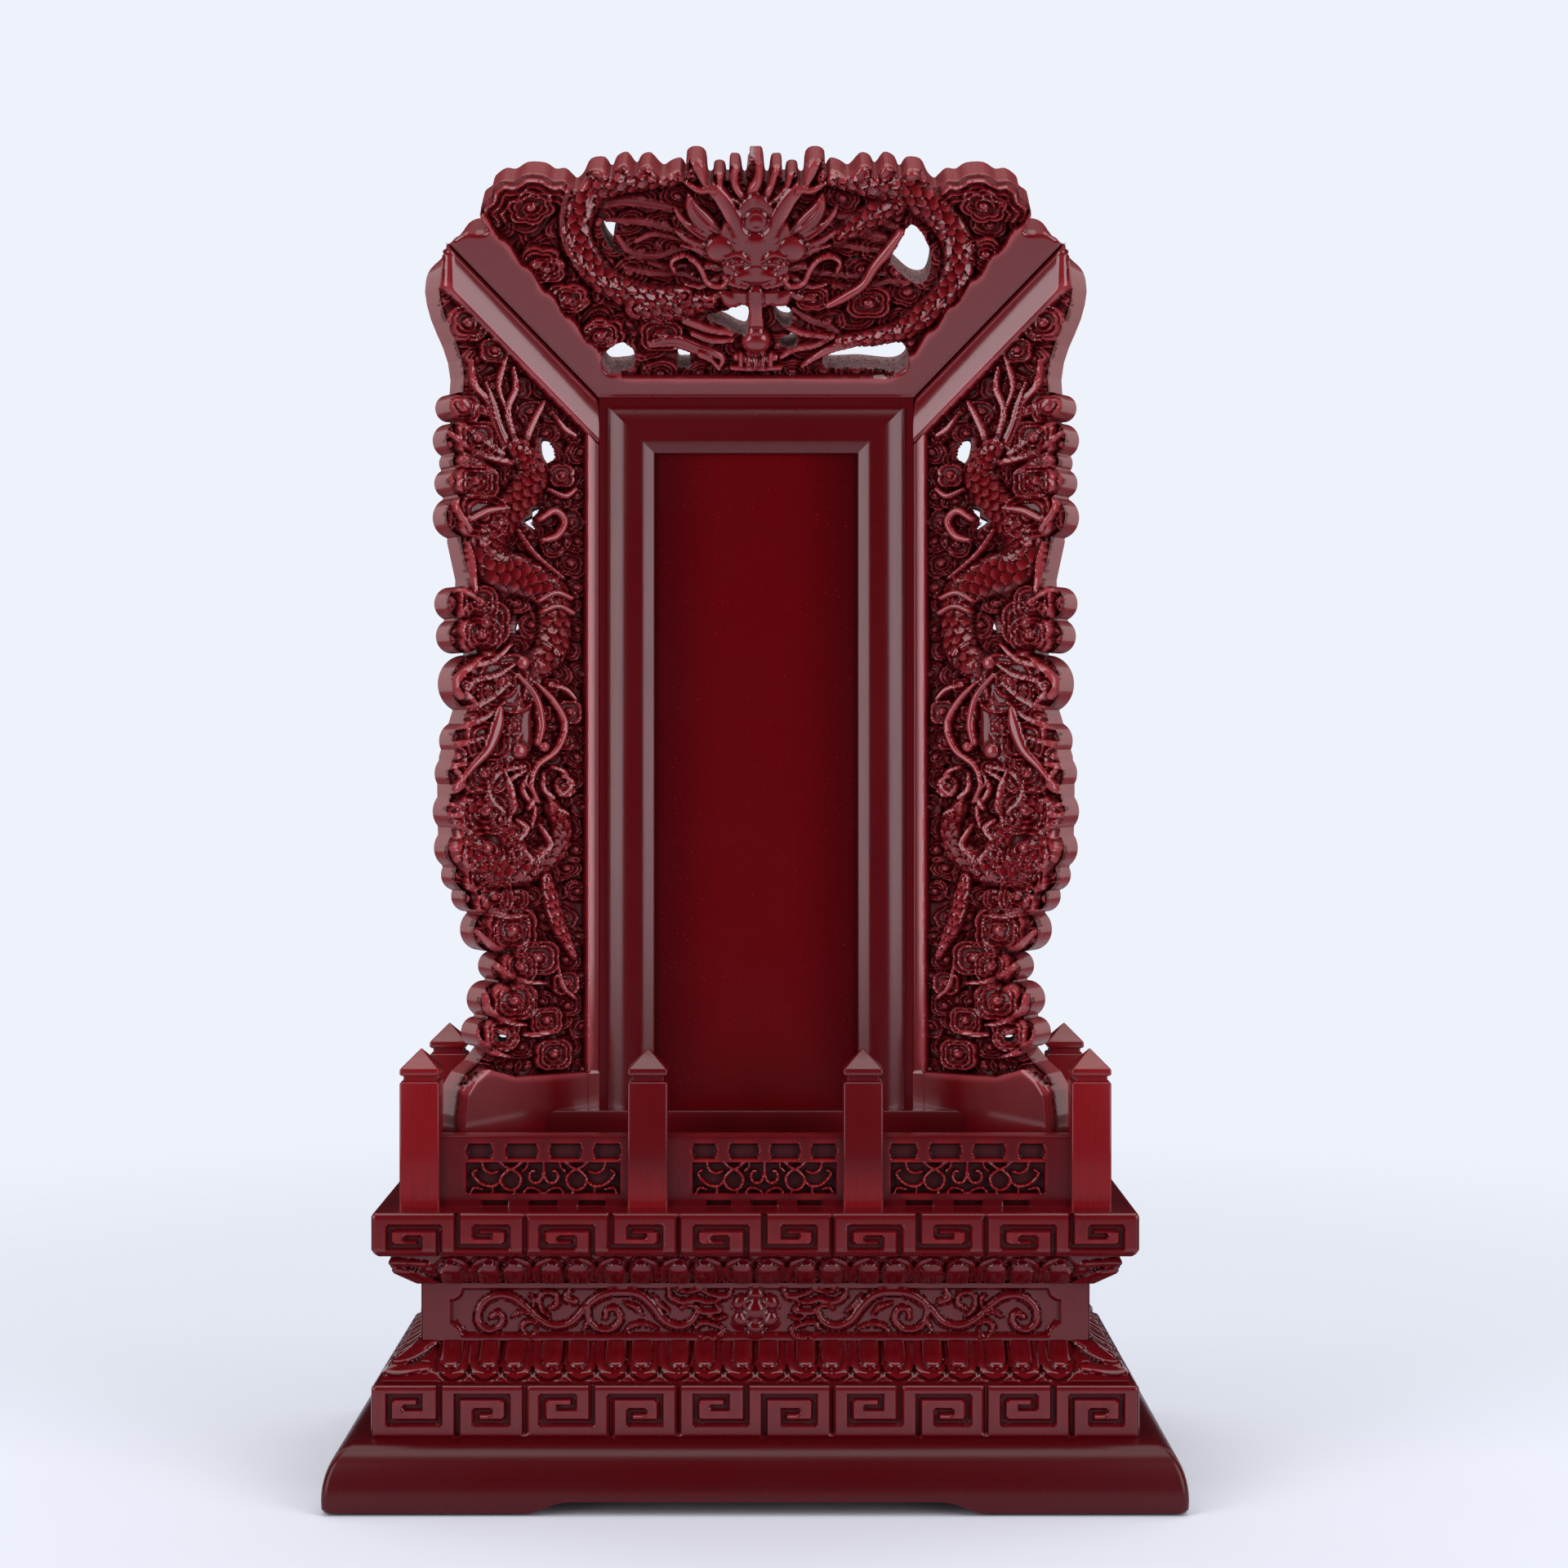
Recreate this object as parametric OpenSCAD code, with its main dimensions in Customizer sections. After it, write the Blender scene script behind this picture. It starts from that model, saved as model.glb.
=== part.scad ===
// Carved and lacquered ancestor tablet on a lotus pedestal, in millimetres.
// Origin: middle of the plinth's underside. +Z is up and -Y is the front.

/* [Plinth] */
// Width of the plinth board
plinth_w = 238.5; // [230:0.5:260]
// Depth of the plinth board
plinth_d = 129; // [122:0.5:150]
// Thickness of the plinth board
plinth_h = 18.2; // [16:0.1:26]
// How far the rounded edge reaches in over the top
nose_w = 8.5; // [5:0.1:9.5]
// Height of the rounded edge
nose_h = 14.7; // [10:0.1:15]
// Length of the cut-out under the long edges
apron_len = 130; // [100:1:150]
// Height of the cut-out under the long edges
apron_rise = 3.6; // [2:0.1:5]
// Length of the curved end of the cut-out
apron_ogee = 14; // [8:0.5:24]

/* [Pedestal] */
// Width of the fret blocks
block_w = 214; // [208:0.5:220]
// Depth of the fret blocks
block_d = 104; // [98:0.5:110]
// Height of the lower fret block
lower_fret_h = 14.4; // [13:0.1:20]
// Height of the lower lotus moulding
lower_lotus_h = 10.2; // [8:0.1:14]
// Height of the waist
waist_h = 16.2; // [13:0.1:24]
// How far the waist stands back from the fret blocks
waist_inset = 12.5; // [9:0.1:14]
// Height of the upper lotus moulding
upper_lotus_h = 9.4; // [8:0.1:14]
// Height of the upper fret block
upper_fret_h = 12.3; // [11.5:0.1:18]
// Depth of the sunk field on the waist
field_depth = 1.2; // [0.6:0.1:2]
// Distance from the lower lotus petals' middles to each other
petal_pitch = 9; // [8:0.1:12]

/* [Fret] */
// Pairs of keys along the front
fret_pairs_front = 5; // [4:1:7]
// Pairs of keys along each side
fret_pairs_side = 3; // [2:1:4]
// Width of the fret groove
groove_w = 1.4; // [0.8:0.1:1.6]
// Depth of the fret groove
groove_depth = 1.4; // [0.6:0.1:2]

/* [Balustrade] */
// Width of each square post
post_w = 11.2; // [10:0.1:13]
// Height of the post's shaft
shaft_h = 35.3; // [28:0.1:50]
// Height of the neck groove under the cap
neck_h = 1.8; // [1:0.1:4]
// Depth of the neck groove
neck_cut = 1; // [0.5:0.1:2]
// Height of the cap's upright sides
cap_h = 2.1; // [1:0.1:5]
// Height of the cap's pyramid
peak_h = 5.3; // [2:0.1:10]
// Distance between the middles of the corner posts, left to right
post_span_x = 189.4; // [186:0.2:194]
// Distance between the middles of the two inner front posts
gate_span = 60.8; // [50:0.2:72]
// Distance between the middles of the front and rear posts
post_span_y = 73; // [70:0.2:80]
// Diameter of the post's round tenon
peg_d = 6; // [4:0.1:8]
// Length of the post's round tenon
peg_len = 8; // [5:0.1:10]
// Height of the rail panels
rail_h = 20; // [17:0.1:26]
// Thickness of the rail panels
rail_t = 7; // [5:0.1:8]
// Length of the panel's tongue inside a post
tongue_len = 2; // [1:0.1:3]
// Thickness of the panel's tongue inside a post
tongue_t = 5; // [3:0.1:5.6]
// Depth of the sunk windows in the rail panels
window_depth = 2; // [0.8:0.1:2.6]
// Width of one small window
window_w = 8.2; // [5:0.1:9]
// Width of the scrolls' strands
strand_w = 1.2; // [0.8:0.1:1.8]

/* [Tablet] */
// Thickness of the core, wing and crest boards
board_t = 14; // [12.5:0.1:16]
// Angle by which wings and crest lean forward
flare = 30; // [20:0.5:35]
// Half width of the core board's front
core_half_w = 46; // [43:0.1:50]
// Height of the core board's front edge above the deck
core_h = 231.8; // [220:0.1:260]
// Distance from the pedestal's middle forward to the core's front face
core_forward = 8; // [4:0.1:10]
// Width of the frame mouldings
frame_w = 13.8; // [11:0.1:16]
// Height of the frame mouldings over the core's face
frame_proud = 3.6; // [3:0.1:6]
// Plain margin outside the frame mouldings
frame_margin = 2.5; // [1.5:0.1:4]
// Height of the foot rail
foot_h = 23.9; // [22.5:0.1:32]
// How far the foot rail stands in front of the core
foot_proud = 8.6; // [6:0.1:10]
// Thickness of the face panel
panel_t = 4; // [3:0.1:5]
// How far the face panel reaches under the frame
panel_lap = 2; // [1:0.1:4]
// Depth of the carved ground on wings and crest
carve_depth = 3; // [1.5:0.1:4]

/* [Tenon and name pocket] */
// Width of the tenon under the core board
tenon_w = 60; // [40:1:80]
// Thickness of the tenon
tenon_t = 8; // [6:0.1:10]
// Length of the tenon
tenon_len = 20; // [14:0.1:20.4]
// Width of the strips behind the core
cleat_w = 9; // [7:0.1:11]
// Half width of the pocket behind the core
pocket_half_w = 26; // [20:0.1:30]
// Depth of the pocket behind the core
pocket_t = 5; // [4:0.1:8]
// Height of the pocket's floor strip over the deck
pocket_floor = 16; // [12:0.1:40]
// Height of core left over the pocket
pocket_head = 35.8; // [30:0.1:70]
// Height of the strips that close the pocket above and below
cross_cleat_h = 8; // [5:0.1:12]
// Thickness of the sliding cover
cover_t = 3; // [2:0.1:4]
// Depth of the cover's grooves
cover_lap = 3; // [2:0.1:4]
// Thickness of the lip behind the cover
lip_t = 2.2; // [1.5:0.1:4]
// Free height over the hidden name board
name_board_play = 2; // [1:0.1:3]

/* [Joinery] */
// Diameter of the tablet's dowels
dowel_d = 4; // [3:0.1:5]
// Length of the dowels into wings and core
dowel_len = 16; // [12:0.5:18]
// Length of the dowels into the crest and across the mitres
short_dowel_len = 9; // [7:0.5:10]
// Diameter of the pedestal's long dowels
stack_dowel_d = 8; // [6:0.1:10]
// How far the long dowels reach into each fret block
stack_dowel_seat = 8; // [5:0.1:9]
// Distance of the long dowels from the waist's ends
stack_end_inset = 22; // [14:0.5:30]
// Distance of the long dowels from the waist's front and back
stack_front_inset = 14; // [10:0.5:20]
// Shank diameter of the plinth screws
screw_d = 4; // [3:0.1:5]
// Head diameter of the plinth screws
screw_head_d = 8; // [7:0.1:10]
// Length of the plinth screws
screw_len = 26; // [24:0.5:30]
// Distance of the plinth screws from the blocks' ends
screw_end_inset = 24; // [16:0.5:34]
// Distance of the plinth screws from the blocks' front and back
screw_front_inset = 16; // [12:0.5:24]
// Gap on each side of a sliding fit
slide_gap = 0.15; // [0.1:0.01:0.3]
// Gap on each side of a glued fit
glue_gap = 0.05; // [0.03:0.01:0.1]

/* [Hidden] */
$fn = 48;
scroll_z = 3.7; // rail panels: lower and upper edge of the scrolls' window, then of the small windows
scroll_top = 11.7;
window_z = 13.4;
window_top = 17.3;
slot_w = 7; // slots along the rail panel's lower edge
slot_h = 1.8;
slot_spread = 0.3; // slot spacing as a share of the field's width
fret_rim = 3; // plain rim between a fret block's edge and the keys
fret_run_z = 4.2; // height of the keys' lower run
fret_tail_z = 0.8; // height at which a rising key begins
fret_divider_z = 1.6; // foot of the groove between two pairs of keys
fret_key_share = 0.325; // key width and inset as shares of a pair's length
fret_inset_share = 0.115;
field_margin = 10; // waist: plain ends, plain edges and corner notches of the sunk field
field_edge = 1.4;
field_notch = 3.2;
eps = 0.5; // overcut beyond a cut face
reach = 600; // size of the half spaces that cut the mitres
lacquer = [0.42, 0.05, 0.07];
dark_lacquer = [0.3, 0.02, 0.04];
bare_wood = [0.72, 0.55, 0.36];
steel = [0.7, 0.7, 0.72];

z_lower_lotus = plinth_h + lower_fret_h;
z_waist = z_lower_lotus + lower_lotus_h;
z_upper_lotus = z_waist + waist_h;
z_upper_fret = z_upper_lotus + upper_lotus_h;
deck = z_upper_fret + upper_fret_h;
waist_w = block_w - 2 * waist_inset;
waist_d = block_d - 2 * waist_inset;

post_x = post_span_x / 2;
post_y = post_span_y / 2;
gate_x = gate_span / 2;
core_y = -core_forward;
core_top = deck + core_h;
core_back = core_y + board_t;
lean = board_t * tan(flare / 2); // how far a mitred board edge runs over its thickness
frame_half_w = core_half_w - frame_margin;
sight_half_w = frame_half_w - frame_w;
frame_top = core_top - frame_margin;
foot_top = deck + foot_h;
pocket_z = deck + pocket_floor;
pocket_h = core_h - pocket_floor - pocket_head;
groove_y = core_back + pocket_t;
cleat_t = pocket_t + cover_t + 2 * slide_gap + lip_t;
cover_z = pocket_z - cross_cleat_h;
cover_top = pocket_z + pocket_h + cross_cleat_h;
wing_dowel_rows = [0.16, 0.5, 0.84];
crest_dowel_rows = [-0.75, 0, 0.75];
screw_x = block_w / 2 - screw_end_inset;
screw_y = block_d / 2 - screw_front_inset;
stack_x = waist_w / 2 - stack_end_inset;
stack_y = waist_d / 2 - stack_front_inset;

// A board with the same edge profile on all four sides, mitred at the corners.
// Each row of profile is [distance in from the edge, height].
module moulded(w, d, profile) {
    intersection() {
        edge_run(w, d, profile);
        rotate([0, 0, 90]) edge_run(d, w, profile);
    }
}

module edge_run(across, along, profile) {
    right = [for (p = profile) [across / 2 - p[0], p[1]]];
    left = [for (i = [len(profile) - 1:-1:0]) [profile[i][0] - across / 2, profile[i][1]]];
    rotate([90, 0, 0]) linear_extrude(along + 2 * eps, center = true) polygon(concat(right, left));
}

// Rectangular stroke between two points of a path that runs along x or y
module groove_stroke(p, q, w) {
    translate([min(p[0], q[0]) - w / 2, min(p[1], q[1]) - w / 2])
        square([abs(p[0] - q[0]) + w, abs(p[1] - q[1]) + w]);
}

// One squared spiral that starts at the face's edge, then turns in; its box is key_w wide
module fret_key(key_w, z_open, z_far, z_near) {
    z_core = z_near + (z_far - z_near) * 0.42;
    path = [[key_w, z_open], [key_w, z_far], [0, z_far], [0, z_near],
        [0.62 * key_w, z_near], [0.62 * key_w, z_core], [0.34 * key_w, z_core]];
    for (i = [0:len(path) - 2]) groove_stroke(path[i], path[i + 1], groove_w);
}

// Fret for one face, from its left end, with its lower edge at 0
module fret_band(length, h, pairs) {
    pitch = length / pairs;
    key_w = fret_key_share * pitch;
    inset = fret_inset_share * pitch;
    top = h - fret_rim;
    for (i = [0:pairs - 1]) translate([i * pitch, 0]) {
        translate([inset, 0]) fret_key(key_w, h + eps, fret_run_z, top);
        translate([pitch - inset, 0]) mirror([1, 0]) fret_key(key_w, fret_tail_z, top, fret_run_z);
        if (i < pairs - 1) groove_stroke([pitch, fret_divider_z], [pitch, h + eps], groove_w);
    }
}

module fret_faces(h) {
    for (turn = [0, 180]) rotate([0, 0, turn]) translate([-block_w / 2, groove_depth - block_d / 2, 0])
        rotate([90, 0, 0]) linear_extrude(groove_depth + eps) fret_band(block_w, h, fret_pairs_front);
    for (turn = [90, 270]) rotate([0, 0, turn]) translate([-block_d / 2, groove_depth - block_w / 2, 0])
        rotate([90, 0, 0]) linear_extrude(groove_depth + eps) fret_band(block_d, h, fret_pairs_side);
}

module at_stack() {
    for (x = [-stack_x, stack_x], y = [-stack_y, stack_y]) translate([x, y, 0]) children();
}

module at_screws() {
    for (x = [-screw_x, screw_x], y = [-screw_y, screw_y]) translate([x, y, 0]) children();
}

module stack_bores(gap) {
    at_stack() translate([0, 0, z_lower_lotus - stack_dowel_seat])
        cylinder(d = stack_dowel_d + 2 * gap, h = z_upper_fret - z_lower_lotus + 2 * stack_dowel_seat);
}

module screw_shape(gap) {
    cone_h = (screw_head_d - screw_d) / 2;
    cylinder(d1 = screw_head_d + 2 * gap, d2 = screw_d + 2 * gap, h = cone_h + gap);
    cylinder(d = screw_d + 2 * gap, h = screw_len + gap);
}

// Mortise for the tablet's tenon, through the upper fret block and the upper lotus
module mortise() {
    translate([-tenon_w / 2 - slide_gap, core_y + (board_t - tenon_t) / 2 - slide_gap, z_upper_lotus])
        cube([tenon_w + 2 * slide_gap, tenon_t + 2 * slide_gap, deck - z_upper_lotus + eps]);
}

module plinth_board() {
    nose = [for (a = [0:10:90]) [nose_w * (1 - cos(a)), plinth_h - nose_h + nose_h * sin(a)]];
    ogee = [for (i = [0:8]) [apron_len / 2 - apron_ogee * i / 8, apron_rise * (1 - cos(22.5 * i)) / 2]];
    cut = concat([[apron_len / 2, -eps]], ogee, [for (i = [8:-1:0]) [-ogee[i][0], ogee[i][1]]],
        [[-apron_len / 2, -eps]]);
    color(dark_lacquer) difference() {
        moulded(plinth_w, plinth_d, concat([[1, 0]], nose));
        rotate([90, 0, 0]) linear_extrude(plinth_d + 2 * eps, center = true) polygon(cut);
        at_screws() screw_shape(glue_gap);
    }
}

module lower_fret_block() {
    color(lacquer) difference() {
        translate([0, 0, plinth_h]) difference() {
            translate([-block_w / 2, -block_d / 2, 0]) cube([block_w, block_d, lower_fret_h]);
            fret_faces(lower_fret_h);
        }
        at_screws() screw_shape(glue_gap);
        stack_bores(glue_gap);
    }
}

// Row of petals lying on a slope: half-round ribs side by side along all four sides
module petal_row(bottom_out, top_out, z, h) {
    slope = atan2(bottom_out - top_out, h);
    rib_len = norm([bottom_out - top_out, h]) - petal_pitch / 2;
    rib_r = petal_pitch * 0.47;
    for (turn = [0:3]) {
        half = (turn % 2 == 0 ? waist_w : waist_d) / 2;
        out = (turn % 2 == 0 ? waist_d : waist_w) / 2;
        count = floor(half / petal_pitch - 0.5);
        rotate([0, 0, 90 * turn]) for (i = [-count:count])
            translate([i * petal_pitch, -out - top_out, z + h]) rotate([-slope, 0, 0])
                translate([0, 3, -rib_len]) {
                    cylinder(r = rib_r, h = rib_len);
                    sphere(r = rib_r);
                }
    }
}

module lower_lotus() {
    profile = [[1.6, 0], [1.6, 1.2], [5, 4.2], [waist_inset - 1, lower_lotus_h]];
    envelope = [[0.2, 0], [0.2, 2], [2.5, 5], [waist_inset - 0.2, lower_lotus_h]];
    color(dark_lacquer) difference() {
        translate([0, 0, z_lower_lotus]) union() {
            moulded(block_w, block_d, profile);
            intersection() {
                moulded(block_w, block_d, envelope);
                petal_row(waist_inset - 1.2, 0.8, 0, lower_lotus_h);
            }
        }
        stack_bores(glue_gap);
    }
}

module waist_block() {
    color(lacquer) difference() {
        translate([-waist_w / 2, -waist_d / 2, z_waist]) cube([waist_w, waist_d, waist_h]);
        for (turn = [0:3]) rotate([0, 0, 90 * turn])
            waist_field(turn % 2 == 0 ? waist_w : waist_d, turn % 2 == 0 ? waist_d : waist_w);
        stack_bores(glue_gap);
    }
    for (turn = [0, 180]) color(dark_lacquer) rotate([0, 0, turn])
        translate([0, field_depth - waist_d / 2, z_waist + waist_h / 2]) rotate([90, 0, 0]) waist_flower();
}

// Sunk field with notched corners on one side of the waist
module waist_field(length, depth) {
    translate([0, field_depth - depth / 2, z_waist]) rotate([90, 0, 0])
        linear_extrude(field_depth + eps) difference() {
            translate([field_margin - length / 2, field_edge])
                square([length - 2 * field_margin, waist_h - 2 * field_edge]);
            for (x = [field_margin - length / 2, length / 2 - field_margin], z = [field_edge, waist_h - field_edge])
                translate([x, z]) circle(r = field_notch);
        }
}

module waist_flower() {
    linear_extrude(field_depth) union() {
        circle(d = waist_h * 0.46);
        for (a = [0:60:300]) rotate(a) translate([waist_h * 0.27, 0]) circle(d = waist_h * 0.26);
    }
}

module upper_lotus() {
    profile = [[waist_inset - 3, 0], [waist_inset - 3, 0.8], [7, 3.2], [4.2, upper_lotus_h - 2], [3.6, upper_lotus_h]];
    envelope = [[waist_inset - 3.2, 0], [5, 2.2], [2.4, upper_lotus_h - 2.4], [2, upper_lotus_h]];
    color(dark_lacquer) difference() {
        translate([0, 0, z_upper_lotus]) union() {
            moulded(block_w, block_d, profile);
            intersection() {
                moulded(block_w, block_d, envelope);
                mirror([0, 0, 1]) petal_row(waist_inset - 2.6, 2, -upper_lotus_h, upper_lotus_h);
            }
        }
        stack_bores(glue_gap);
        mortise();
    }
}

module upper_fret_block() {
    bevel = 2;
    color(lacquer) difference() {
        translate([0, 0, z_upper_fret]) difference() {
            moulded(block_w, block_d, [[bevel, 0], [0, bevel], [0, upper_fret_h]]);
            translate([0, 0, upper_fret_h]) mirror([0, 0, 1]) fret_faces(upper_fret_h);
        }
        stack_bores(glue_gap);
        mortise();
        at_posts() translate([0, 0, deck - peg_len - eps]) cylinder(d = peg_d + 2 * glue_gap, h = peg_len + 2 * eps);
    }
}

module stack_dowels() {
    color(bare_wood) stack_bores(0);
}

module plinth_screws() {
    color(steel) at_screws() screw_shape(0);
}

module at_posts() {
    for (x = [-post_x, post_x], y = [-post_y, post_y]) translate([x, y, 0]) children();
    for (x = [-gate_x, gate_x]) translate([x, -post_y, 0]) children();
}

module roof(w, h) {
    rotate([90, 0, 0]) linear_extrude(2 * w, center = true) polygon([[-w / 2, 0], [w / 2, 0], [0, h]]);
}

// Pyramid as two crossed roofs, so that its faces stay flat
module peak(w, h) {
    intersection() {
        roof(w, h);
        rotate([0, 0, 90]) roof(w, h);
    }
}

// Square post with a neck groove, a pointed cap and a round tenon.
// Each angle in sides has a groove for a rail panel: 0 is +X, 90 is +Y.
module post(x, y, sides) {
    groove = tongue_t + 2 * glue_gap;
    color(lacquer) translate([x, y, deck]) {
        difference() {
            translate([-post_w / 2, -post_w / 2, 0]) cube([post_w, post_w, shaft_h]);
            for (a = sides) rotate([0, 0, a]) translate([post_w / 2 - tongue_len - glue_gap, -groove / 2, -eps])
                cube([tongue_len + eps, groove, rail_h + eps + glue_gap]);
        }
        translate([neck_cut - post_w / 2, neck_cut - post_w / 2, shaft_h])
            cube([post_w - 2 * neck_cut, post_w - 2 * neck_cut, neck_h]);
        translate([-post_w / 2, -post_w / 2, shaft_h + neck_h]) cube([post_w, post_w, cap_h]);
        translate([0, 0, shaft_h + neck_h + cap_h]) peak(post_w, peak_h);
        translate([0, 0, -peg_len]) cylinder(d = peg_d, h = peg_len + 1);
    }
}

module post_front_left() { post(-post_x, -post_y, [0, 90]); }
module post_gate_left() { post(-gate_x, -post_y, [0, 180]); }
module post_gate_right() { post(gate_x, -post_y, [0, 180]); }
module post_front_right() { post(post_x, -post_y, [90, 180]); }
module post_rear_left() { post(-post_x, post_y, [270]); }
module post_rear_right() { post(post_x, post_y, [270]); }

// Open curve of constant width: an arc of a ring from angle a to angle b
module arc_band(r, a, b) {
    difference() {
        intersection() {
            circle(r = r + strand_w / 2);
            polygon([[0, 0], for (i = [0:6]) 2 * r * [cos(a + (b - a) * i / 6), sin(a + (b - a) * i / 6)]]);
        }
        circle(r = r - strand_w / 2);
    }
}

// Scrollwork of one long window, drawn about the window's middle
module scrollwork(w, h) {
    loop_r = h * 0.3;
    for (side = [0, 1]) mirror([side, 0]) {
        translate([0.24 * w, 0]) arc_band(loop_r, -60, 215);
        translate([0.24 * w - strand_w / 2, loop_r]) square([strand_w, h / 2 - loop_r]);
        translate([0.06 * w, h / 2]) arc_band(0.06 * w - strand_w / 2, 180, 330);
        translate([0, -h * 0.22]) square([0.15 * w, strand_w]);
        translate([0.14 * w, -h / 2]) square([strand_w, h * 0.32]);
        translate([0.37 * w, h * 0.12]) arc_band(0.07 * w, 180, 320);
    }
    translate([-strand_w / 2, -h / 2]) square([strand_w, h]);
}

// Rail panel along +X from the face of one post to the face of the next, with its middle at 0.
// Its front shows sunk windows over a long window with scrollwork; left and right are plain margins.
module rail_panel(length, left, right, windows) {
    body = length + 2 * tongue_len;
    field_w = length - left - right;
    pitch = (field_w - window_w) / (windows - 1);
    mid = (left - right) / 2;
    color(lacquer) difference() {
        union() {
            translate([glue_gap - length / 2, -rail_t / 2, 0]) cube([length - 2 * glue_gap, rail_t, rail_h]);
            translate([-body / 2, -tongue_t / 2, 0]) cube([body, tongue_t, rail_h]);
        }
        translate([0, window_depth - rail_t / 2, 0]) rotate([90, 0, 0]) linear_extrude(window_depth + eps) {
            for (i = [0:windows - 1]) translate([left - length / 2 + i * pitch, window_z])
                square([window_w, window_top - window_z]);
            difference() {
                translate([left - length / 2, scroll_z]) square([field_w, scroll_top - scroll_z]);
                translate([mid, (scroll_z + scroll_top) / 2]) scrollwork(field_w, scroll_top - scroll_z);
            }
            for (i = [-1:1]) translate([mid + i * field_w * slot_spread - slot_w / 2, 0]) square([slot_w, slot_h]);
        }
    }
}

rail_side_len = post_span_y - post_w;
rail_wing_len = post_x - gate_x - post_w;
rail_mid_x = (post_x + gate_x) / 2;
wide_margin = 6.4;
slim_margin = 2.2;

module rail_front_left() {
    translate([-rail_mid_x, -post_y, deck]) rail_panel(rail_wing_len, wide_margin, slim_margin, 4);
}
module rail_front_centre() {
    translate([0, -post_y, deck]) rail_panel(gate_span - post_w, 3, 3, 4);
}
module rail_front_right() {
    translate([rail_mid_x, -post_y, deck]) rail_panel(rail_wing_len, slim_margin, wide_margin, 4);
}
module rail_side_left() {
    translate([-post_x, 0, deck]) rotate([0, 0, -90]) rail_panel(rail_side_len, 4, 4, 5);
}
module rail_side_right() {
    translate([post_x, 0, deck]) rotate([0, 0, 90]) rail_panel(rail_side_len, 4, 4, 5);
}

// Half spaces beside the right mitre: inside holds the crest, outside holds the wing
module crest_side_of_mitre() {
    translate([core_half_w, 0, core_top]) rotate([0, -45, 0])
        translate([-reach / 2, -reach / 2, 0]) cube([reach, reach, reach / 2]);
}

module wing_side_of_mitre() {
    translate([core_half_w, 0, core_top]) rotate([0, -45, 0])
        translate([-reach / 2, -reach / 2, -reach / 2]) cube([reach, reach, reach / 2]);
}

// Pins across the joint between core and right wing
module wing_pins(gap) {
    off = board_t / 2 / cos(flare / 2);
    for (row = wing_dowel_rows)
        translate([core_half_w + off * sin(flare / 2), core_y + off * cos(flare / 2), deck + row * core_h])
            rotate([0, 0, -flare / 2]) rotate([0, 90, 0])
                cylinder(d = dowel_d + 2 * gap, h = dowel_len + 2 * gap, center = true);
}

// Pins across the joint between core and crest
module crest_pins(gap) {
    off = board_t / 2 / cos(flare / 2);
    for (row = crest_dowel_rows)
        translate([row * core_half_w, core_y + off * cos(flare / 2), core_top + off * sin(flare / 2)])
            rotate([flare / 2, 0, 0]) cylinder(d = dowel_d + 2 * gap, h = short_dowel_len + 2 * gap, center = true);
}

// Pin across the right mitre, half way along it
module mitre_pin(gap) {
    along = 0.45 * core_half_w;
    translate([core_half_w + along, core_y - along * tan(flare) + board_t / 2 / cos(flare), core_top + along])
        rotate([0, -45, 0]) cylinder(d = dowel_d + 2 * gap, h = short_dowel_len + 2 * gap, center = true);
}

module core_board() {
    plan = [[core_half_w, core_y], [core_half_w + lean, core_back],
        [-core_half_w - lean, core_back], [-core_half_w, core_y]];
    side = [[core_y - eps, deck], [core_y - eps, core_top - eps * tan(flare / 2)],
        [core_back + eps, core_top + lean + eps * tan(flare / 2)], [core_back + eps, deck]];
    color(dark_lacquer) difference() {
        union() {
            intersection() {
                translate([0, 0, deck]) linear_extrude(core_h + board_t) polygon(plan);
                rotate([90, 0, 90]) linear_extrude(reach, center = true) polygon(side);
            }
            translate([-tenon_w / 2, core_y + (board_t - tenon_t) / 2, deck - tenon_len])
                cube([tenon_w, tenon_t, tenon_len + 1]);
        }
        panel_box(glue_gap);
        wing_pins(glue_gap);
        mirror([1, 0, 0]) wing_pins(glue_gap);
        crest_pins(glue_gap);
    }
}

// Space of the face panel, let into the core's front
module panel_box(gap) {
    half = sight_half_w + panel_lap + gap;
    bottom = foot_top - panel_lap - gap;
    top = frame_top - frame_w + panel_lap + gap;
    translate([-half, core_y - (gap > 0 ? eps : 0), bottom])
        cube([2 * half, panel_t + gap + (gap > 0 ? eps : 0), top - bottom]);
}

module face_panel() {
    color(lacquer) panel_box(0);
}

// Section of the frame moulding: x from its outer to its inner edge, y forward
module frame_section() {
    round_w = frame_w * 0.3;
    round_h = frame_proud * 0.7;
    rise = frame_proud - round_h;
    polygon(concat([[0, 0]],
        [for (a = [0:15:90]) [round_w * (1 - cos(a)), rise + round_h * sin(a)]],
        [for (a = [90:-15:0]) [frame_w - round_w * (1 - cos(a)), rise + round_h * sin(a)]],
        [[frame_w, 0]]));
}

// Half spaces beside the mitre at the frame's top right corner
module under_frame_mitre() {
    translate([frame_half_w, 0, frame_top]) rotate([0, -45, 0])
        translate([-reach / 2, -reach / 2, -reach / 2]) cube([reach, reach, reach / 2]);
}

module over_frame_mitre() {
    translate([frame_half_w, 0, frame_top]) rotate([0, -45, 0])
        translate([-reach / 2, -reach / 2, 0]) cube([reach, reach, reach / 2]);
}

module frame_right_stile() {
    color(lacquer) intersection() {
        translate([frame_half_w, core_y, foot_top]) rotate([0, 0, 180])
            linear_extrude(frame_top - foot_top) frame_section();
        under_frame_mitre();
    }
}

module frame_left_stile() {
    mirror([1, 0, 0]) frame_right_stile();
}

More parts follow.
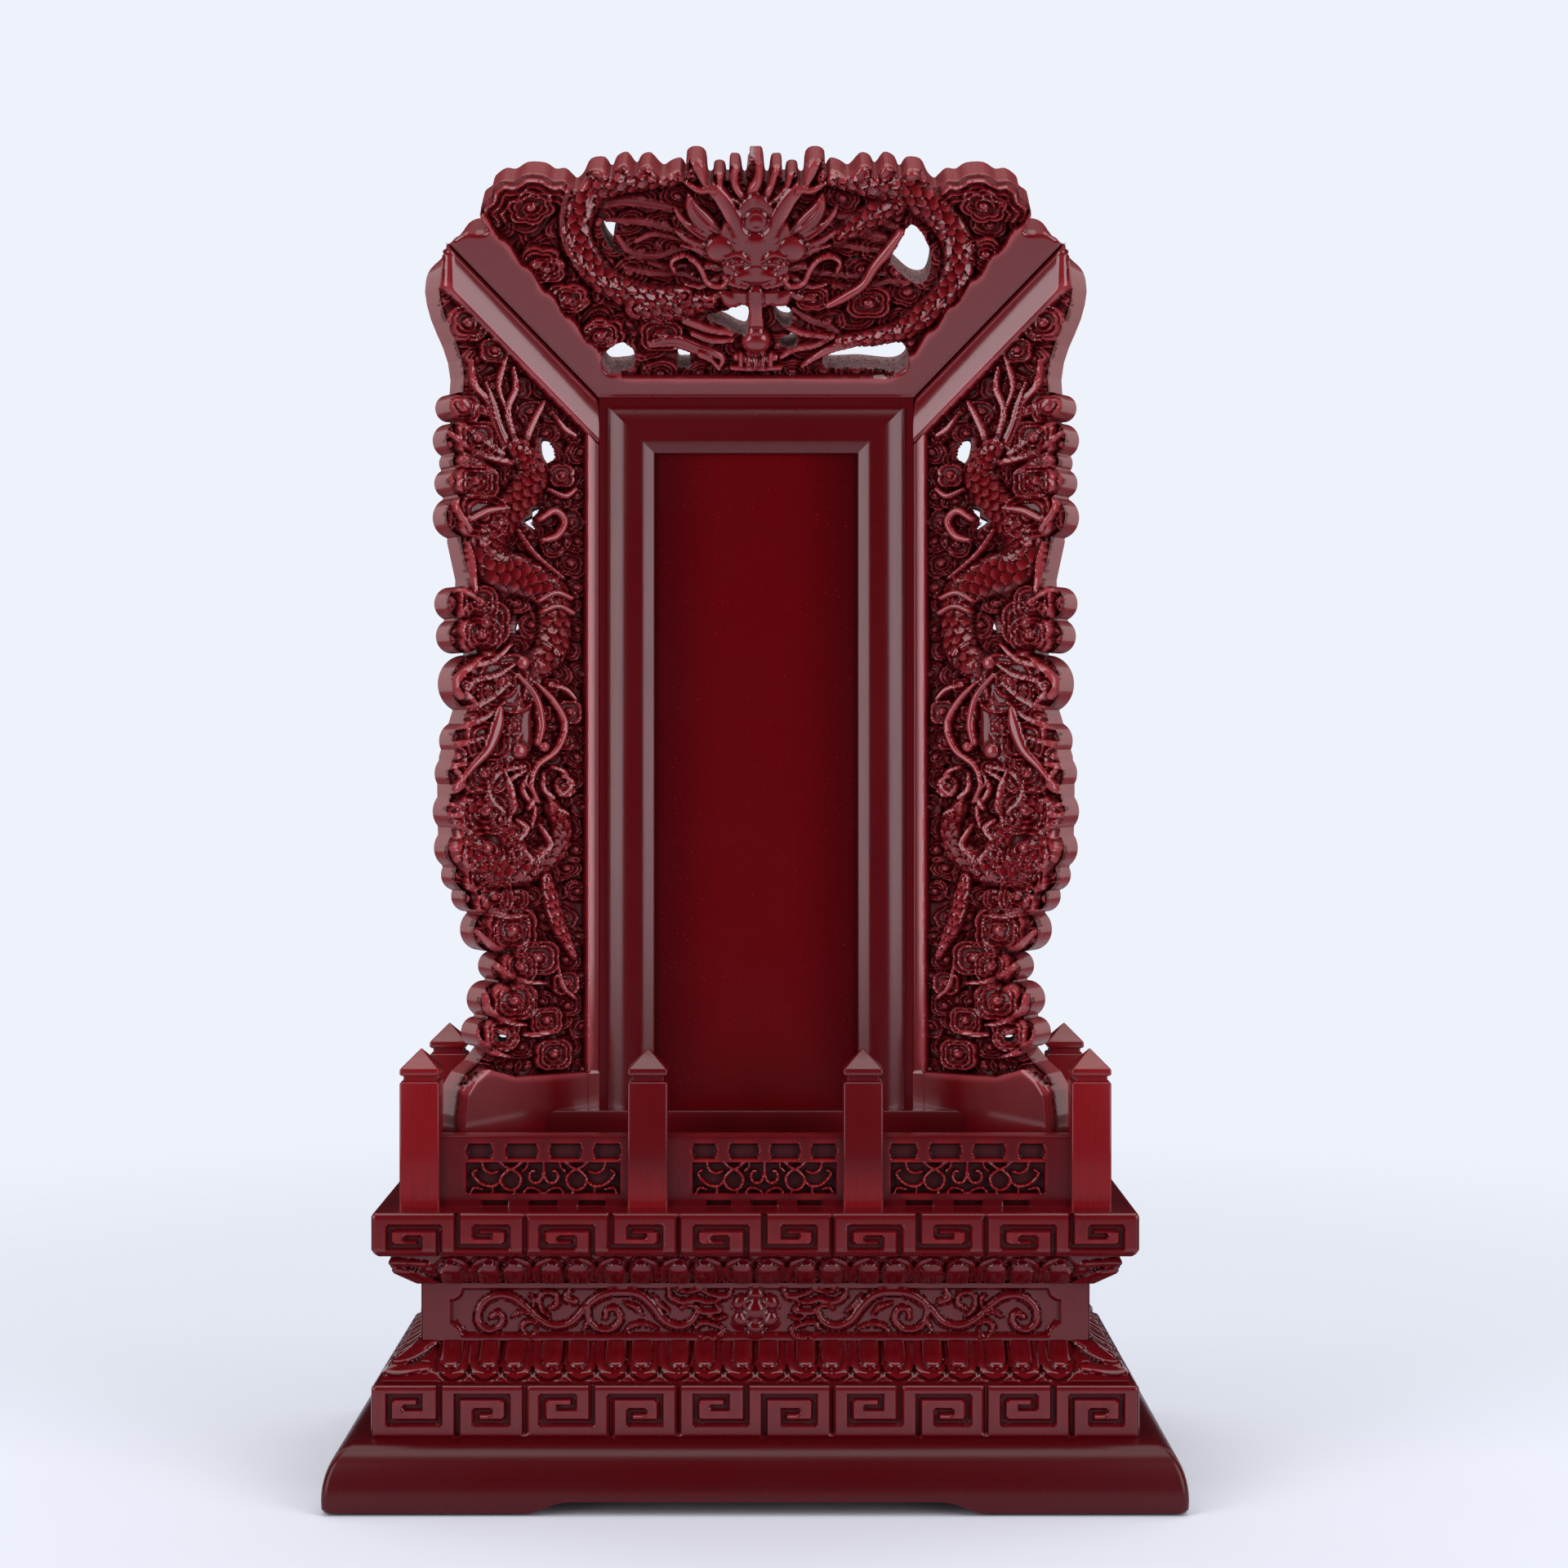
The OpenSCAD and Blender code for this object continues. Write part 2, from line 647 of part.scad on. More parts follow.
module frame_top_rail() {
    color(lacquer) intersection() {
        translate([0, core_y, frame_top]) rotate([0, 90, 0]) mirror([0, 1, 0])
            linear_extrude(2 * frame_half_w, center = true) frame_section();
        over_frame_mitre();
        mirror([1, 0, 0]) over_frame_mitre();
    }
}

// Straight rail across the foot; its ends die into the leaning wings
module foot_rail() {
    front = core_half_w + foot_proud / tan(flare);
    round_r = 3;
    corner = [for (a = [0:15:90]) [front - round_r * (1 - cos(a)), foot_top - round_r * (1 - sin(a))]];
    face = concat([[-front - eps, deck - eps], [front + eps, deck - eps]], [[front + eps, corner[0][1]]], corner,
        [for (i = [len(corner) - 1:-1:0]) [-corner[i][0], corner[i][1]]], [[-front - eps, corner[0][1]]]);
    color(dark_lacquer) intersection() {
        translate([0, 0, deck]) linear_extrude(foot_h) polygon([[-core_half_w, core_y], [core_half_w, core_y],
            [front, core_y - foot_proud], [-front, core_y - foot_proud]]);
        rotate([90, 0, 0]) linear_extrude(reach, center = true) polygon(face);
    }
}

// Smooth open curve through points, four steps between neighbours
function curve(p) = [for (i = [0:len(p) - 2], s = [0:0.25:0.99]) spline(p, i, s), p[len(p) - 1]];
function spline(p, i, s) = let (a = p[max(i - 1, 0)], b = p[i], c = p[i + 1], d = p[min(i + 2, len(p) - 1)])
    b + s * (c - a) / 2 + s * s * (a - 2.5 * b + 2 * c - d / 2) + s * s * s * (1.5 * b - a / 2 - 1.5 * c + d / 2);

// Body along a curve, as a row of overlapping discs; each row of path is [x, y, half width]
module ribbon(path) {
    bosses(curve(path));
}

function mirrored(rows) = [for (row = rows) if (row[0] != 0) [-row[0], row[1], row[2]]];

module bosses(rows) {
    for (b = rows) translate([b[0], b[1]]) circle(r = b[2]);
}

// Outline of the right wing on its own face: distance out from the core, height over the deck
wing_lobes = [[42.1, 227.7, 3.9], [41.9, 218.3, 4.9], [42.1, 205.9, 4.2], [40.8, 196, 6], [41.5, 171.1, 4.8],
    [40.8, 161.7, 5], [36.8, 147.9, 8.4], [32, 76.6, 6.2], [28.2, 65.8, 4.3], [30.8, 56.2, 5.3], [33.6, 46.8, 4.3]];
wing_edge = [[45, 0], [45, 24], [44, 31], [41, 35.5], [37, 38.5], [33, 43], [32, 52], [26, 62], [27, 70], [33, 80],
    [38, 84.5], [42, 89], [45.4, 97], [46, 106], [46.3, 118], [46.2, 127], [43, 139.5], [36, 156.6], [40, 168],
    [39.7, 178], [42.3, 189], [41, 214], [41.5, 232], [42.5, 235], [40.5, 238], [44, 242], [45.2, 247],
    [48, 250], [48.5, 254], [46.5, 256.5], [49, 260], [49.3, 266], [48.5, 274.5]];
wing_holes = [[16, 218, 3], [20, 198.5, 3.6], [25.5, 165.5, 2.4], [31, 49.5, 1.8]];
wing_clouds = [[41, 252, 4.5], [40, 207, 4.5], [36, 166, 7], [28, 76, 7], [19, 68, 5.5], [26, 56, 5.5], [15, 50, 5]];
wing_dragon = [[20, 222, 2], [29, 207, 4.5], [35, 188, 6.5], [26, 177, 6.5], [14, 174, 6], [11, 158, 6.4],
    [15, 144, 7], [24, 136, 10], [31, 124, 7]];
wing_coil = [[8, 98, 3.4], [16, 106, 6], [28, 108, 7], [38, 100, 6.5], [34, 88, 6], [22, 90, 5], [11, 84, 3]];
lobe_crown = 0.75; // share of each edge lobe that stands above the carved ground
wing_border = 5;
wing_band = 12.5;
wing_foot_h = 36;

// Outline of the crest on its own face: distance from the middle, distance up from the core
crest_lobes = [[70, 57, 9], [57, 58, 8], [43, 64, 4.5], [35, 65, 4.5], [17, 67, 4.5], [6, 66, 4], [0, 67, 5]];
crest_edge = [[50, 64], [52, 62], [72, 62], [72, 55.5], [79, 54.5], [86, 50], [89, 45], [100, 45]];
crest_holes = [[-42, 47, 4], [46, 46, 5.5], [-9, 22.5, 4], [8.5, 24, 2.4], [-43, 11, 3.4], [26, 11, 3.6], [39, 11, 3.6]];
crest_clouds = [[-66, 56, 6], [-62, 38, 6], [-52, 27, 5], [-43, 18, 4], [64, 56, 6], [33, 27, 5], [18, 29, 4]];
crest_dragon = [[[-22, 66, 3], [-40, 66, 5], [-52, 58, 6], [-53, 47, 6], [-44, 34, 6], [-27, 27, 4]],
    [[24, 65, 3], [38, 66, 5], [51, 57, 6], [60, 43, 6], [57, 28, 6], [42, 17, 4]]];
crest_head = [[0, 52, 6], [-9, 43, 6], [9, 43, 6], [0, 38, 8.4], [0, 30, 5.5], [0, 16, 4.2], [-14, 45, 4], [14, 45, 4]];
crest_horns = [[[-4, 50, 2.5], [-12, 58, 2.2], [-17, 69, 2]], [[4, 50, 2.5], [12, 58, 2.2], [17, 69, 2]]];
crest_border = 6.5;
crest_band = 9.5;
dragon_forms = 2; // the crest's body runs in two loops

// Extrudes a drawing on the right wing's face backwards, from depth a to depth b
module on_wing(a, b) {
    translate([core_half_w, core_y, deck]) rotate([0, 0, -flare]) rotate([90, 0, 0])
        translate([0, 0, -b]) linear_extrude(b - a) children();
}

// Extrudes a drawing on the crest's face backwards, from depth a to depth b
module on_crest(a, b) {
    translate([0, core_y, core_top]) rotate([flare + 90, 0, 0])
        translate([0, 0, -b]) linear_extrude(b - a) children();
}

module wing_outline() {
    polygon(concat([[-2 * lean, 0]], wing_edge, [[-2 * lean, core_h + 60]]));
    bosses(wing_lobes);
}

// Ground of the wing's carving, with the motifs left standing
module wing_ground() {
    difference() {
        polygon([[wing_border, wing_foot_h], [60, wing_foot_h], [60, core_h + 60 * cos(flare) - wing_band],
            [wing_border, core_h + wing_border * cos(flare) - wing_band]]);
        bosses(wing_clouds);
        ribbon(wing_dragon);
        ribbon(wing_coil);
        for (lobe = wing_lobes) translate([lobe[0], lobe[1]]) circle(r = lobe[2] * lobe_crown);
    }
}

module right_wing_board() {
    slot = [[0, 0], [reach, 0], [reach, board_t], [-lean, board_t]];
    rail_room = post_x - rail_t / 2 - 1;
    difference() {
        intersection() {
            on_wing(0, board_t) difference() {
                wing_outline();
                bosses(wing_holes);
            }
            translate([core_half_w, core_y, deck]) rotate([0, 0, -flare]) linear_extrude(reach) polygon(slot);
            wing_side_of_mitre();
        }
        on_wing(-eps, carve_depth) wing_ground();
        translate([rail_room, -reach / 2, deck - eps]) cube([reach, reach, shaft_h + neck_h + cap_h + peak_h]);
        wing_pins(glue_gap);
        mitre_pin(glue_gap);
    }
}

module right_wing() {
    color(lacquer) right_wing_board();
}

module left_wing() {
    color(lacquer) mirror([1, 0, 0]) right_wing_board();
}

module crest_plate() {
    right = concat(crest_edge, [[100, -2 * lean]]);
    left = [for (i = [len(right) - 1:-1:0]) [-right[i][0], right[i][1]]];
    on_crest(0, board_t) polygon(concat(right, left));
    for (lobe = concat(crest_lobes, mirrored(crest_lobes))) on_crest(0, board_t) bosses([lobe]);
}

module crest_ground() {
    half = core_half_w - crest_band;
    top = 90;
    difference() {
        polygon([[-half, crest_border], [half, crest_border], [half + top * cos(flare), top],
            [-half - top * cos(flare), top]]);
        bosses(crest_clouds);
        bosses(crest_head);
        for (i = [0:dragon_forms - 1]) {
            ribbon(crest_dragon[i]);
            ribbon(crest_horns[i]);
        }
        for (lobe = concat(crest_lobes, mirrored(crest_lobes)))
            translate([lobe[0], lobe[1]]) circle(r = lobe[2] * lobe_crown);
    }
}

module crest() {
    wedge = [[0, 0], [0, reach], [board_t, reach], [board_t, -lean]];
    color(lacquer) difference() {
        intersection() {
            union() crest_plate();
            translate([0, core_y, core_top]) rotate([flare, 0, 0]) rotate([90, 0, 90])
                linear_extrude(reach, center = true) polygon(wedge);
            crest_side_of_mitre();
            mirror([1, 0, 0]) crest_side_of_mitre();
        }
        on_crest(-eps, carve_depth) crest_ground();
        on_crest(-eps, board_t + eps) bosses(crest_holes);
        crest_pins(glue_gap);
        for (side = [0, 1]) mirror([side, 0, 0]) mitre_pin(glue_gap);
    }
}

module right_wing_dowels() {
    color(bare_wood) wing_pins(0);
}

module left_wing_dowels() {
    color(bare_wood) mirror([1, 0, 0]) wing_pins(0);
}

module crest_dowels() {
    color(bare_wood) crest_pins(0);
}

module mitre_dowels() {
    color(bare_wood) for (side = [0, 1]) mirror([side, 0, 0]) mitre_pin(0);
}

// Grooved strip beside the pocket; the groove is open above and stopped below
module right_cleat() {
    groove_top = cover_top + eps;
    color(dark_lacquer) difference() {
        translate([pocket_half_w, core_back, cover_z - cross_cleat_h])
            cube([cleat_w, cleat_t, cover_top - cover_z + cross_cleat_h]);
        translate([pocket_half_w - eps, groove_y, cover_z])
            cube([cover_lap + slide_gap + eps, cover_t + 2 * slide_gap, groove_top - cover_z]);
    }
}

module left_cleat() {
    mirror([1, 0, 0]) right_cleat();
}

module cross_cleat(z) {
    color(dark_lacquer) translate([-pocket_half_w, core_back, z])
        cube([2 * pocket_half_w, pocket_t, cross_cleat_h]);
}

module bottom_cleat() {
    cross_cleat(pocket_z - cross_cleat_h);
}

module top_cleat() {
    cross_cleat(pocket_z + pocket_h);
}

// Plain board that carries the names, standing in the pocket
module name_board() {
    side_gap = 1;
    color(bare_wood) translate([side_gap - pocket_half_w, core_back, pocket_z])
        cube([2 * (pocket_half_w - side_gap), pocket_t - side_gap, pocket_h - name_board_play]);
}

// Cover that slides up out of the cleats, with a thumb notch
module back_cover() {
    half = pocket_half_w + cover_lap;
    notch_r = 9;
    color(lacquer) difference() {
        translate([-half, groove_y + slide_gap, cover_z]) cube([2 * half, cover_t, cover_top - cover_z]);
        translate([0, groove_y + slide_gap + cover_t / 2, cover_top - 2.2 * notch_r]) rotate([-90, 0, 0])
            intersection() {
                cylinder(r = notch_r, h = cover_t);
                translate([-notch_r, -notch_r, 0]) cube([2 * notch_r, notch_r, cover_t]);
            }
    }
}

plinth_board();
lower_fret_block();
lower_lotus();
waist_block();
upper_lotus();
upper_fret_block();
stack_dowels();
plinth_screws();
post_front_left();
post_gate_left();
post_gate_right();
post_front_right();
post_rear_left();
post_rear_right();
rail_front_left();
rail_front_centre();
rail_front_right();
rail_side_left();
rail_side_right();
core_board();
face_panel();
frame_left_stile();
frame_right_stile();
frame_top_rail();
foot_rail();
left_wing();
right_wing();
crest();
left_wing_dowels();
right_wing_dowels();
crest_dowels();
mitre_dowels();
left_cleat();
right_cleat();
top_cleat();
bottom_cleat();
name_board();
back_cover();
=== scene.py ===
import math
import bmesh
import bpy
import numpy as np
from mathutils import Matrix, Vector
from mathutils.geometry import delaunay_2d_cdt


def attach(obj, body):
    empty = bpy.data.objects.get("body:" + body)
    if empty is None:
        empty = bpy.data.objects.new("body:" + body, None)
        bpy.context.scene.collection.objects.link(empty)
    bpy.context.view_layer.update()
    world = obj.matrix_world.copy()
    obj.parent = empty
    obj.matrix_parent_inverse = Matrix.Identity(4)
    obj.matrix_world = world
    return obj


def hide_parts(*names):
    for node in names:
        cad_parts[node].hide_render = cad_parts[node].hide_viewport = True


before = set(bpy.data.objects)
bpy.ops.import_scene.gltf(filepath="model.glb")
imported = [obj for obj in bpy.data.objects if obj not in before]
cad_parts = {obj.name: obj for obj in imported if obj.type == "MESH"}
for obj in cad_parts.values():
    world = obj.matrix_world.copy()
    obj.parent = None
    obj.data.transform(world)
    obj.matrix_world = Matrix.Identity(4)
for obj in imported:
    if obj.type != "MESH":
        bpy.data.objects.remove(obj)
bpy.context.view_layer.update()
print("frame loaded")

mm = 0.001
tilt = math.radians(30)  # lean of wings and crest
deck = 80.7  # top of the pedestal, in mm as every size below
# camera: its place in mm, its lens and middle in pixels of the 1920 frame
eye = dict(x=4.6, y=-870.0, z=215.0, focal=3600.0, middleX=945.0, middleY=895.0)
rng = np.random.default_rng(7)


class Wire:
    def __init__(self, net, socket):
        self.net = net
        self.socket = socket

    def __add__(self, other):
        return self.net.math("ADD", self, other)

    def __radd__(self, other):
        return self.net.math("ADD", other, self)

    def __sub__(self, other):
        return self.net.math("SUBTRACT", self, other)

    def __rsub__(self, other):
        return self.net.math("SUBTRACT", other, self)

    def __mul__(self, other):
        return self.net.math("MULTIPLY", self, other)

    def __rmul__(self, other):
        return self.net.math("MULTIPLY", other, self)


class Net:
    def __init__(self, tree):
        self.tree = tree

    def put(self, socket, value):
        if isinstance(value, Wire):
            self.tree.links.new(value.socket, socket)
        else:
            socket.default_value = value

    def add(self, kind, settings=None, sockets=None):
        node = self.tree.nodes.new(kind)
        for key, value in (settings or {}).items():
            setattr(node, key, value)
        for key, value in (sockets or {}).items():
            self.put(node.inputs[key], value)
        return node

    def out(self, node, name=0):
        return Wire(self, node.outputs[name])

    def math(self, operation, a, b=0.0):
        return self.out(self.add("ShaderNodeMath", dict(operation=operation), {0: a, 1: b}))

    def smooth(self, value, low, high):
        sockets = {"Value": value, "From Min": low, "From Max": high}
        return self.out(self.add("ShaderNodeMapRange", dict(interpolation_type="SMOOTHSTEP"), sockets))

    def mix(self, factor, a, b):
        node = self.add("ShaderNodeMix", dict(data_type="RGBA"), {"Factor": factor})
        self.put(node.inputs[6], a)
        self.put(node.inputs[7], b)
        return self.out(node, 2)

    def noise(self, place, scale, detail=3.0):
        node = self.add("ShaderNodeTexNoise", None, {"Vector": place, "Scale": scale, "Detail": detail})
        return self.out(node, 0)

    def stretched(self, factors):
        sockets = {0: self.out(self.add("ShaderNodeTexCoord"), "Object"), 1: factors}
        return self.out(self.add("ShaderNodeVectorMath", dict(operation="MULTIPLY"), sockets))

    def attribute(self, name):
        return self.out(self.add("ShaderNodeAttribute", dict(attribute_name=name)), "Fac")


def colour(r, g, b):
    def linear(c):
        c = c / 255
        return c / 12.92 if c <= 0.04045 else ((c + 0.055) / 1.055) ** 2.4
    return (linear(r), linear(g), linear(b), 1.0)


def newMaterial(name):
    material = bpy.data.materials.new(name)
    material.use_nodes = True
    return material, Net(material.node_tree), material.node_tree.nodes["Principled BSDF"].inputs


def lacquer(name, look):
    material, net, sockets = newMaterial(name)
    hollow = net.attribute("shadeAndTone")  # below 0 in recesses, where it paints shade, above 0 on ridges, where it paints a highlight
    raw = net.attribute("raw")  # 1 on sawn walls
    sunk = net.attribute("sunk")  # 1 on the deep carved ground, which is duller and darkened there as painted shade
    place = net.stretched((1.0, 1.0, 1.0))
    grain = net.noise(net.stretched((1.0, 1.0, 0.045)), 1400.0)
    blotch = net.noise(place, 26.0)
    speck = net.noise(place, 1500.0, 0.0)
    across = net.out(net.add("ShaderNodeSeparateXYZ", None, {0: place}), "X")
    shaded = net.smooth(net.math("ABSOLUTE", across), 0.008, 0.031)  # darker away from the middle
    # painted shade: recesses darkened towards the dark colour
    base = net.mix(net.smooth(hollow, -1.0, 0.0), look["dark"], look["body"])
    # painted shade on the deep ground
    base = net.mix(sunk * 0.6, base, look["dark"])
    base = net.mix(shaded * look["shade"], base, look["dark"])
    # painted highlight: ridges lightened towards the light colour
    base = net.mix(net.smooth(hollow, 0.1, 1.0) * look["ridgeHighlight"], base, look["light"])
    base = net.mix(net.smooth(grain, 0.45, 0.7) * look["grain"], base, look["dark"])
    base = net.mix(net.smooth(speck, 0.76, 0.8) * look["speck"], base, look["light"])
    base = net.mix(raw * net.smooth(grain, 0.3, 0.62), base, look["wood"])
    net.put(sockets["Base Color"], base)
    varied = net.smooth(blotch, 0.35, 0.7) * 0.05 + net.smooth(grain, 0.4, 0.7) * look["satin"]
    net.put(sockets["Roughness"], look["rough"] + varied + (raw + sunk) * 0.3)
    sockets["Specular IOR Level"].default_value = look["shine"]
    net.put(sockets["Coat Weight"], (1.0 - sunk * 0.9) * look["coat"])
    sockets["Coat Roughness"].default_value = look["gloss"]
    bump = net.add("ShaderNodeBump", None, {"Strength": look["bump"], "Distance": 0.0002, "Height": grain})
    net.put(sockets["Normal"], net.out(bump))
    return material


def plain(name, tone, rough, metal=0.0):
    material, net, sockets = newMaterial(name)
    grain = net.noise(net.stretched((1.0, 1.0, 0.06)), 700.0)
    darker = tuple(0.7 * c for c in tone[:3]) + (1.0,)
    net.put(sockets["Base Color"], net.mix(net.smooth(grain, 0.4, 0.65), darker, tone))
    sockets["Roughness"].default_value = rough
    sockets["Metallic"].default_value = metal
    return material


# ridgeHighlight and light paint a highlight on ridges; dark also paints the shade in recesses
redLook = dict(body=colour(84, 5, 13), dark=colour(50, 2, 7), light=colour(150, 26, 32),
               wood=colour(148, 128, 128), ridgeHighlight=0.6, grain=0.2, rough=0.24, shine=0.25, coat=0.55,
               gloss=0.19, bump=0.05, satin=0.04, speck=0.1, shade=0.0)
carvedLook = dict(redLook, body=colour(108, 9, 17), dark=colour(68, 4, 10), light=colour(168, 64, 70),
                  ridgeHighlight=0.7, grain=0.08, rough=0.18, shine=0.22, coat=1.0, gloss=0.1)
fretLook = dict(redLook, body=colour(94, 6, 14), dark=colour(70, 3, 9))
reliefLook = dict(carvedLook, body=colour(90, 5, 12), dark=colour(44, 2, 6), light=colour(140, 30, 36),
                  shine=0.1, coat=0.8)
plinthLook = dict(redLook, body=colour(72, 3, 9), dark=colour(48, 2, 6), rough=0.3, shine=0.12, coat=0.32,
                  gloss=0.22)
panelLook = dict(redLook, body=colour(94, 2, 9), dark=colour(50, 2, 6), grain=0.06, bump=0.0, rough=0.2,
                 coat=0.15, shine=0.3, gloss=0.11, satin=0.0, speck=0.5, shade=0.7)
redLacquer = lacquer("redLacquer", redLook)
carvedLacquer = lacquer("carvedLacquer", carvedLook)
reliefLacquer = lacquer("reliefLacquer", reliefLook)
fretLacquer = lacquer("fretLacquer", fretLook)
plinthLacquer = lacquer("plinthLacquer", plinthLook)
panelLacquer = lacquer("panelLacquer", panelLook)
bareWood = plain("bareWood", colour(176, 140, 98), 0.6)
steel = plain("steel", colour(178, 178, 182), 0.3, 1.0)
print("materials made")


def clear():
    bpy.ops.object.select_all(action="DESELECT")


def splineSpan(a, b, c, d, steps):
    rows = []
    for s in np.arange(steps) / steps:
        rows.append(b + s * (c - a) / 2 + s * s * (a - 2.5 * b + 2 * c - d / 2)
                    + s ** 3 * (1.5 * b - a / 2 - 1.5 * c + d / 2))
    return rows


def smoothSpline(points, steps):
    p = np.array(points, float)
    if len(p) < 3:
        share = np.linspace(0, 1, steps * (len(p) - 1) + 1)[:, None]
        return p[0] + share * (p[-1] - p[0])
    ends = np.vstack([2 * p[0] - p[1], p, 2 * p[-1] - p[-2]])
    rows = []
    for i in range(1, len(ends) - 2):
        rows += splineSpan(*ends[i - 1:i + 3], steps)
    return np.array(rows + [p[-1]])


def smoothLoop(points, steps=5):
    p = np.array(points, float)
    rows = []
    for i in range(len(p)):
        rows += splineSpan(*(p[(i + k) % len(p)] for k in (-1, 0, 1, 2)), steps)
    return np.array(rows)


def blurred(h, reach):
    for axis in (0, 1):
        for turn in range(2):
            pad = [(0, 0), (0, 0)]
            pad[axis] = (reach + 1, reach)
            total = np.cumsum(np.pad(h, pad, mode="edge"), axis=axis)
            size = h.shape[axis]
            far = np.take(total, np.arange(2 * reach + 1, 2 * reach + 1 + size), axis=axis)
            near = np.take(total, np.arange(size), axis=axis)
            h = (far - near) / (2 * reach + 1)
    return h


def uneven(shape, reach, size):
    rough = blurred(rng.normal(0.0, 1.0, shape), reach)
    return size * rough / np.abs(rough).max()


def swirls(shape):
    flow = uneven(shape, 9, 3.4)  # contour lines of a soft field read as small cloud strands
    return 0.75 * np.abs(np.cos(math.pi * flow)) ** 0.8 + uneven(shape, 3, 0.3)


def domed(ratio, high):
    return high * (1 - np.sqrt(np.clip(1 - ratio ** 2, 0, 1)))


class Carving:
    def __init__(self, low, high, step, ground):
        countU = int(round((high[0] - low[0]) / step)) + 1
        countV = int(round((high[1] - low[1]) / step)) + 1
        acrossU = np.linspace(low[0], high[0], countU)
        acrossV = np.linspace(low[1], high[1], countV)
        self.u, self.v = np.meshgrid(acrossU, acrossV)
        self.h = np.full(self.u.shape, float(ground))  # height over the board's face
        self.inside = np.full(self.u.shape, 1e3)  # distance to the sawn edges
        self.holes = np.full(self.u.shape, 1e3)
        self.loops = []
        self.leanU = np.zeros(self.u.shape)
        self.leanV = np.zeros(self.u.shape)
        self.bore = np.zeros(2)  # how far the holes lean for each mm of depth
        self.sunkFrom = -50.0  # height under which the ground stays dull and gets painted shade
        self.low = np.array(low, float)
        self.step = np.array([self.u[0, 1] - self.u[0, 0], self.v[1, 0] - self.v[0, 0]])

    def window(self, low, high):
        a = np.floor((np.array(low) - self.low) / self.step).astype(int)
        b = np.ceil((np.array(high) - self.low) / self.step).astype(int) + 1
        a = np.clip(a, 0, None)
        return slice(a[1], max(b[1], 0)), slice(a[0], max(b[0], 0))

    def trace(self, path, reach, steps=7):
        path = smoothSpline(path, steps)
        edge = path[:, 2].max() * reach + 0.5
        win = self.window(path[:, :2].min(0) - edge, path[:, :2].max(0) + edge)
        u = self.u[win]
        v = self.v[win]
        ratio = np.full(u.shape, 1e3)
        along = np.zeros(u.shape)
        side = np.zeros(u.shape)
        run = 0.0
        for a, b in zip(path[:-1], path[1:]):
            e = b[:2] - a[:2]
            size = math.hypot(e[0], e[1])
            if size < 1e-6:
                continue
            t = np.clip(((u - a[0]) * e[0] + (v - a[1]) * e[1]) / size ** 2, 0, 1)
            du = u - a[0] - t * e[0]
            dv = v - a[1] - t * e[1]
            x = np.hypot(du, dv) / np.maximum(a[2] + t * (b[2] - a[2]), 0.05)
            closer = x < ratio
            ratio[closer] = x[closer]
            along[closer] = (run + t * size)[closer]
            side[closer] = np.sign(e[0] * dv - e[1] * du)[closer]
            run += size
        return win, ratio, along, side * np.minimum(ratio, 1.5)

    def lay(self, win, shape, ratio, moat):
        h = self.h[win]
        ring = np.clip(1 - np.abs(ratio - 1.08) / 0.22, 0, 1)
        h -= moat * ring
        inner = ratio < 1
        h[inner] = np.maximum(h, shape)[inner]

    def strand(self, path, top, dome, ridges=0, moat=0.35, scales=None):
        win, ratio, along, side = self.trace(path, 1.4)
        shape = top - domed(ratio, dome)
        if ridges:
            shape = shape - 0.175 * (1 - np.cos(math.pi * side * ridges + math.pi * (ridges % 2 == 0)))
        if scales:
            plates = scalePattern(along / scales["long"], side * scales["rows"] / 2)
            shape = shape + scales["high"] * (plates - 0.55)
        self.lay(win, shape, ratio, moat)

    def groove(self, path, depth):
        win, ratio = self.trace(path, 1.0)[:2]
        self.h[win] -= depth * np.clip(1 - ratio ** 2, 0, 1)

    def ball(self, at, radius, top, dome=None, moat=0.3):
        reach = radius * 1.5 + 0.5
        win = self.window(np.array(at) - reach, np.array(at) + reach)
        ratio = np.hypot(self.u[win] - at[0], self.v[win] - at[1]) / radius
        self.lay(win, top - domed(ratio, radius * 0.8 if dome is None else dome), ratio, moat)

    def cloud(self, at, radius, top, squash=0.8, turn=0.0, hand=1, lobes=4):
        reach = radius * 1.6 + 0.5
        win = self.window(np.array(at) - reach, np.array(at) + reach)
        x = self.u[win] - at[0]
        y = self.v[win] - at[1]
        c = math.cos(turn)
        s = math.sin(turn)
        p = (x * c + y * s) / radius
        q = (y * c - x * s) / (radius * squash)
        r = np.hypot(p, q)
        angle = np.arctan2(q, p)
        ratio = r / (0.9 + 0.2 * np.abs(np.sin(lobes * angle / 2)))
        swing = 0.22 + 0.26 * ((hand * angle / (2 * math.pi)) % 1.0)  # one turn of a spiral round the bead
        line = np.minimum(np.abs(r - swing), np.abs(ratio - 0.92)) * radius
        if radius > 4.5:  # a large cloud has a second contour
            line = np.minimum(line, np.abs(ratio - 0.68) * radius)
        shape = top - 1.5 + 1.5 * np.exp(-(line / 0.5) ** 2)
        bead = 0.24
        shape = np.where(r < bead, top + 0.3 - domed(r / bead, 1.2), shape)
        self.lay(win, shape, ratio, 0.6)

    def cloudBank(self, low, high, spacing, top):
        for row, v in enumerate(np.arange(low[1], high[1], spacing * 0.8)):
            for u in np.arange(low[0] + (row % 2) * spacing / 2, high[0], spacing):
                shift = rng.uniform(-0.15, 0.15, 2) * spacing
                self.cloud((u + shift[0], v + shift[1]), spacing * rng.uniform(0.52, 0.66),
                           top - rng.uniform(0, 0.5), rng.uniform(0.6, 0.8), rng.uniform(-0.6, 0.6),
                           rng.choice((-1, 1)), 3 + row % 2)

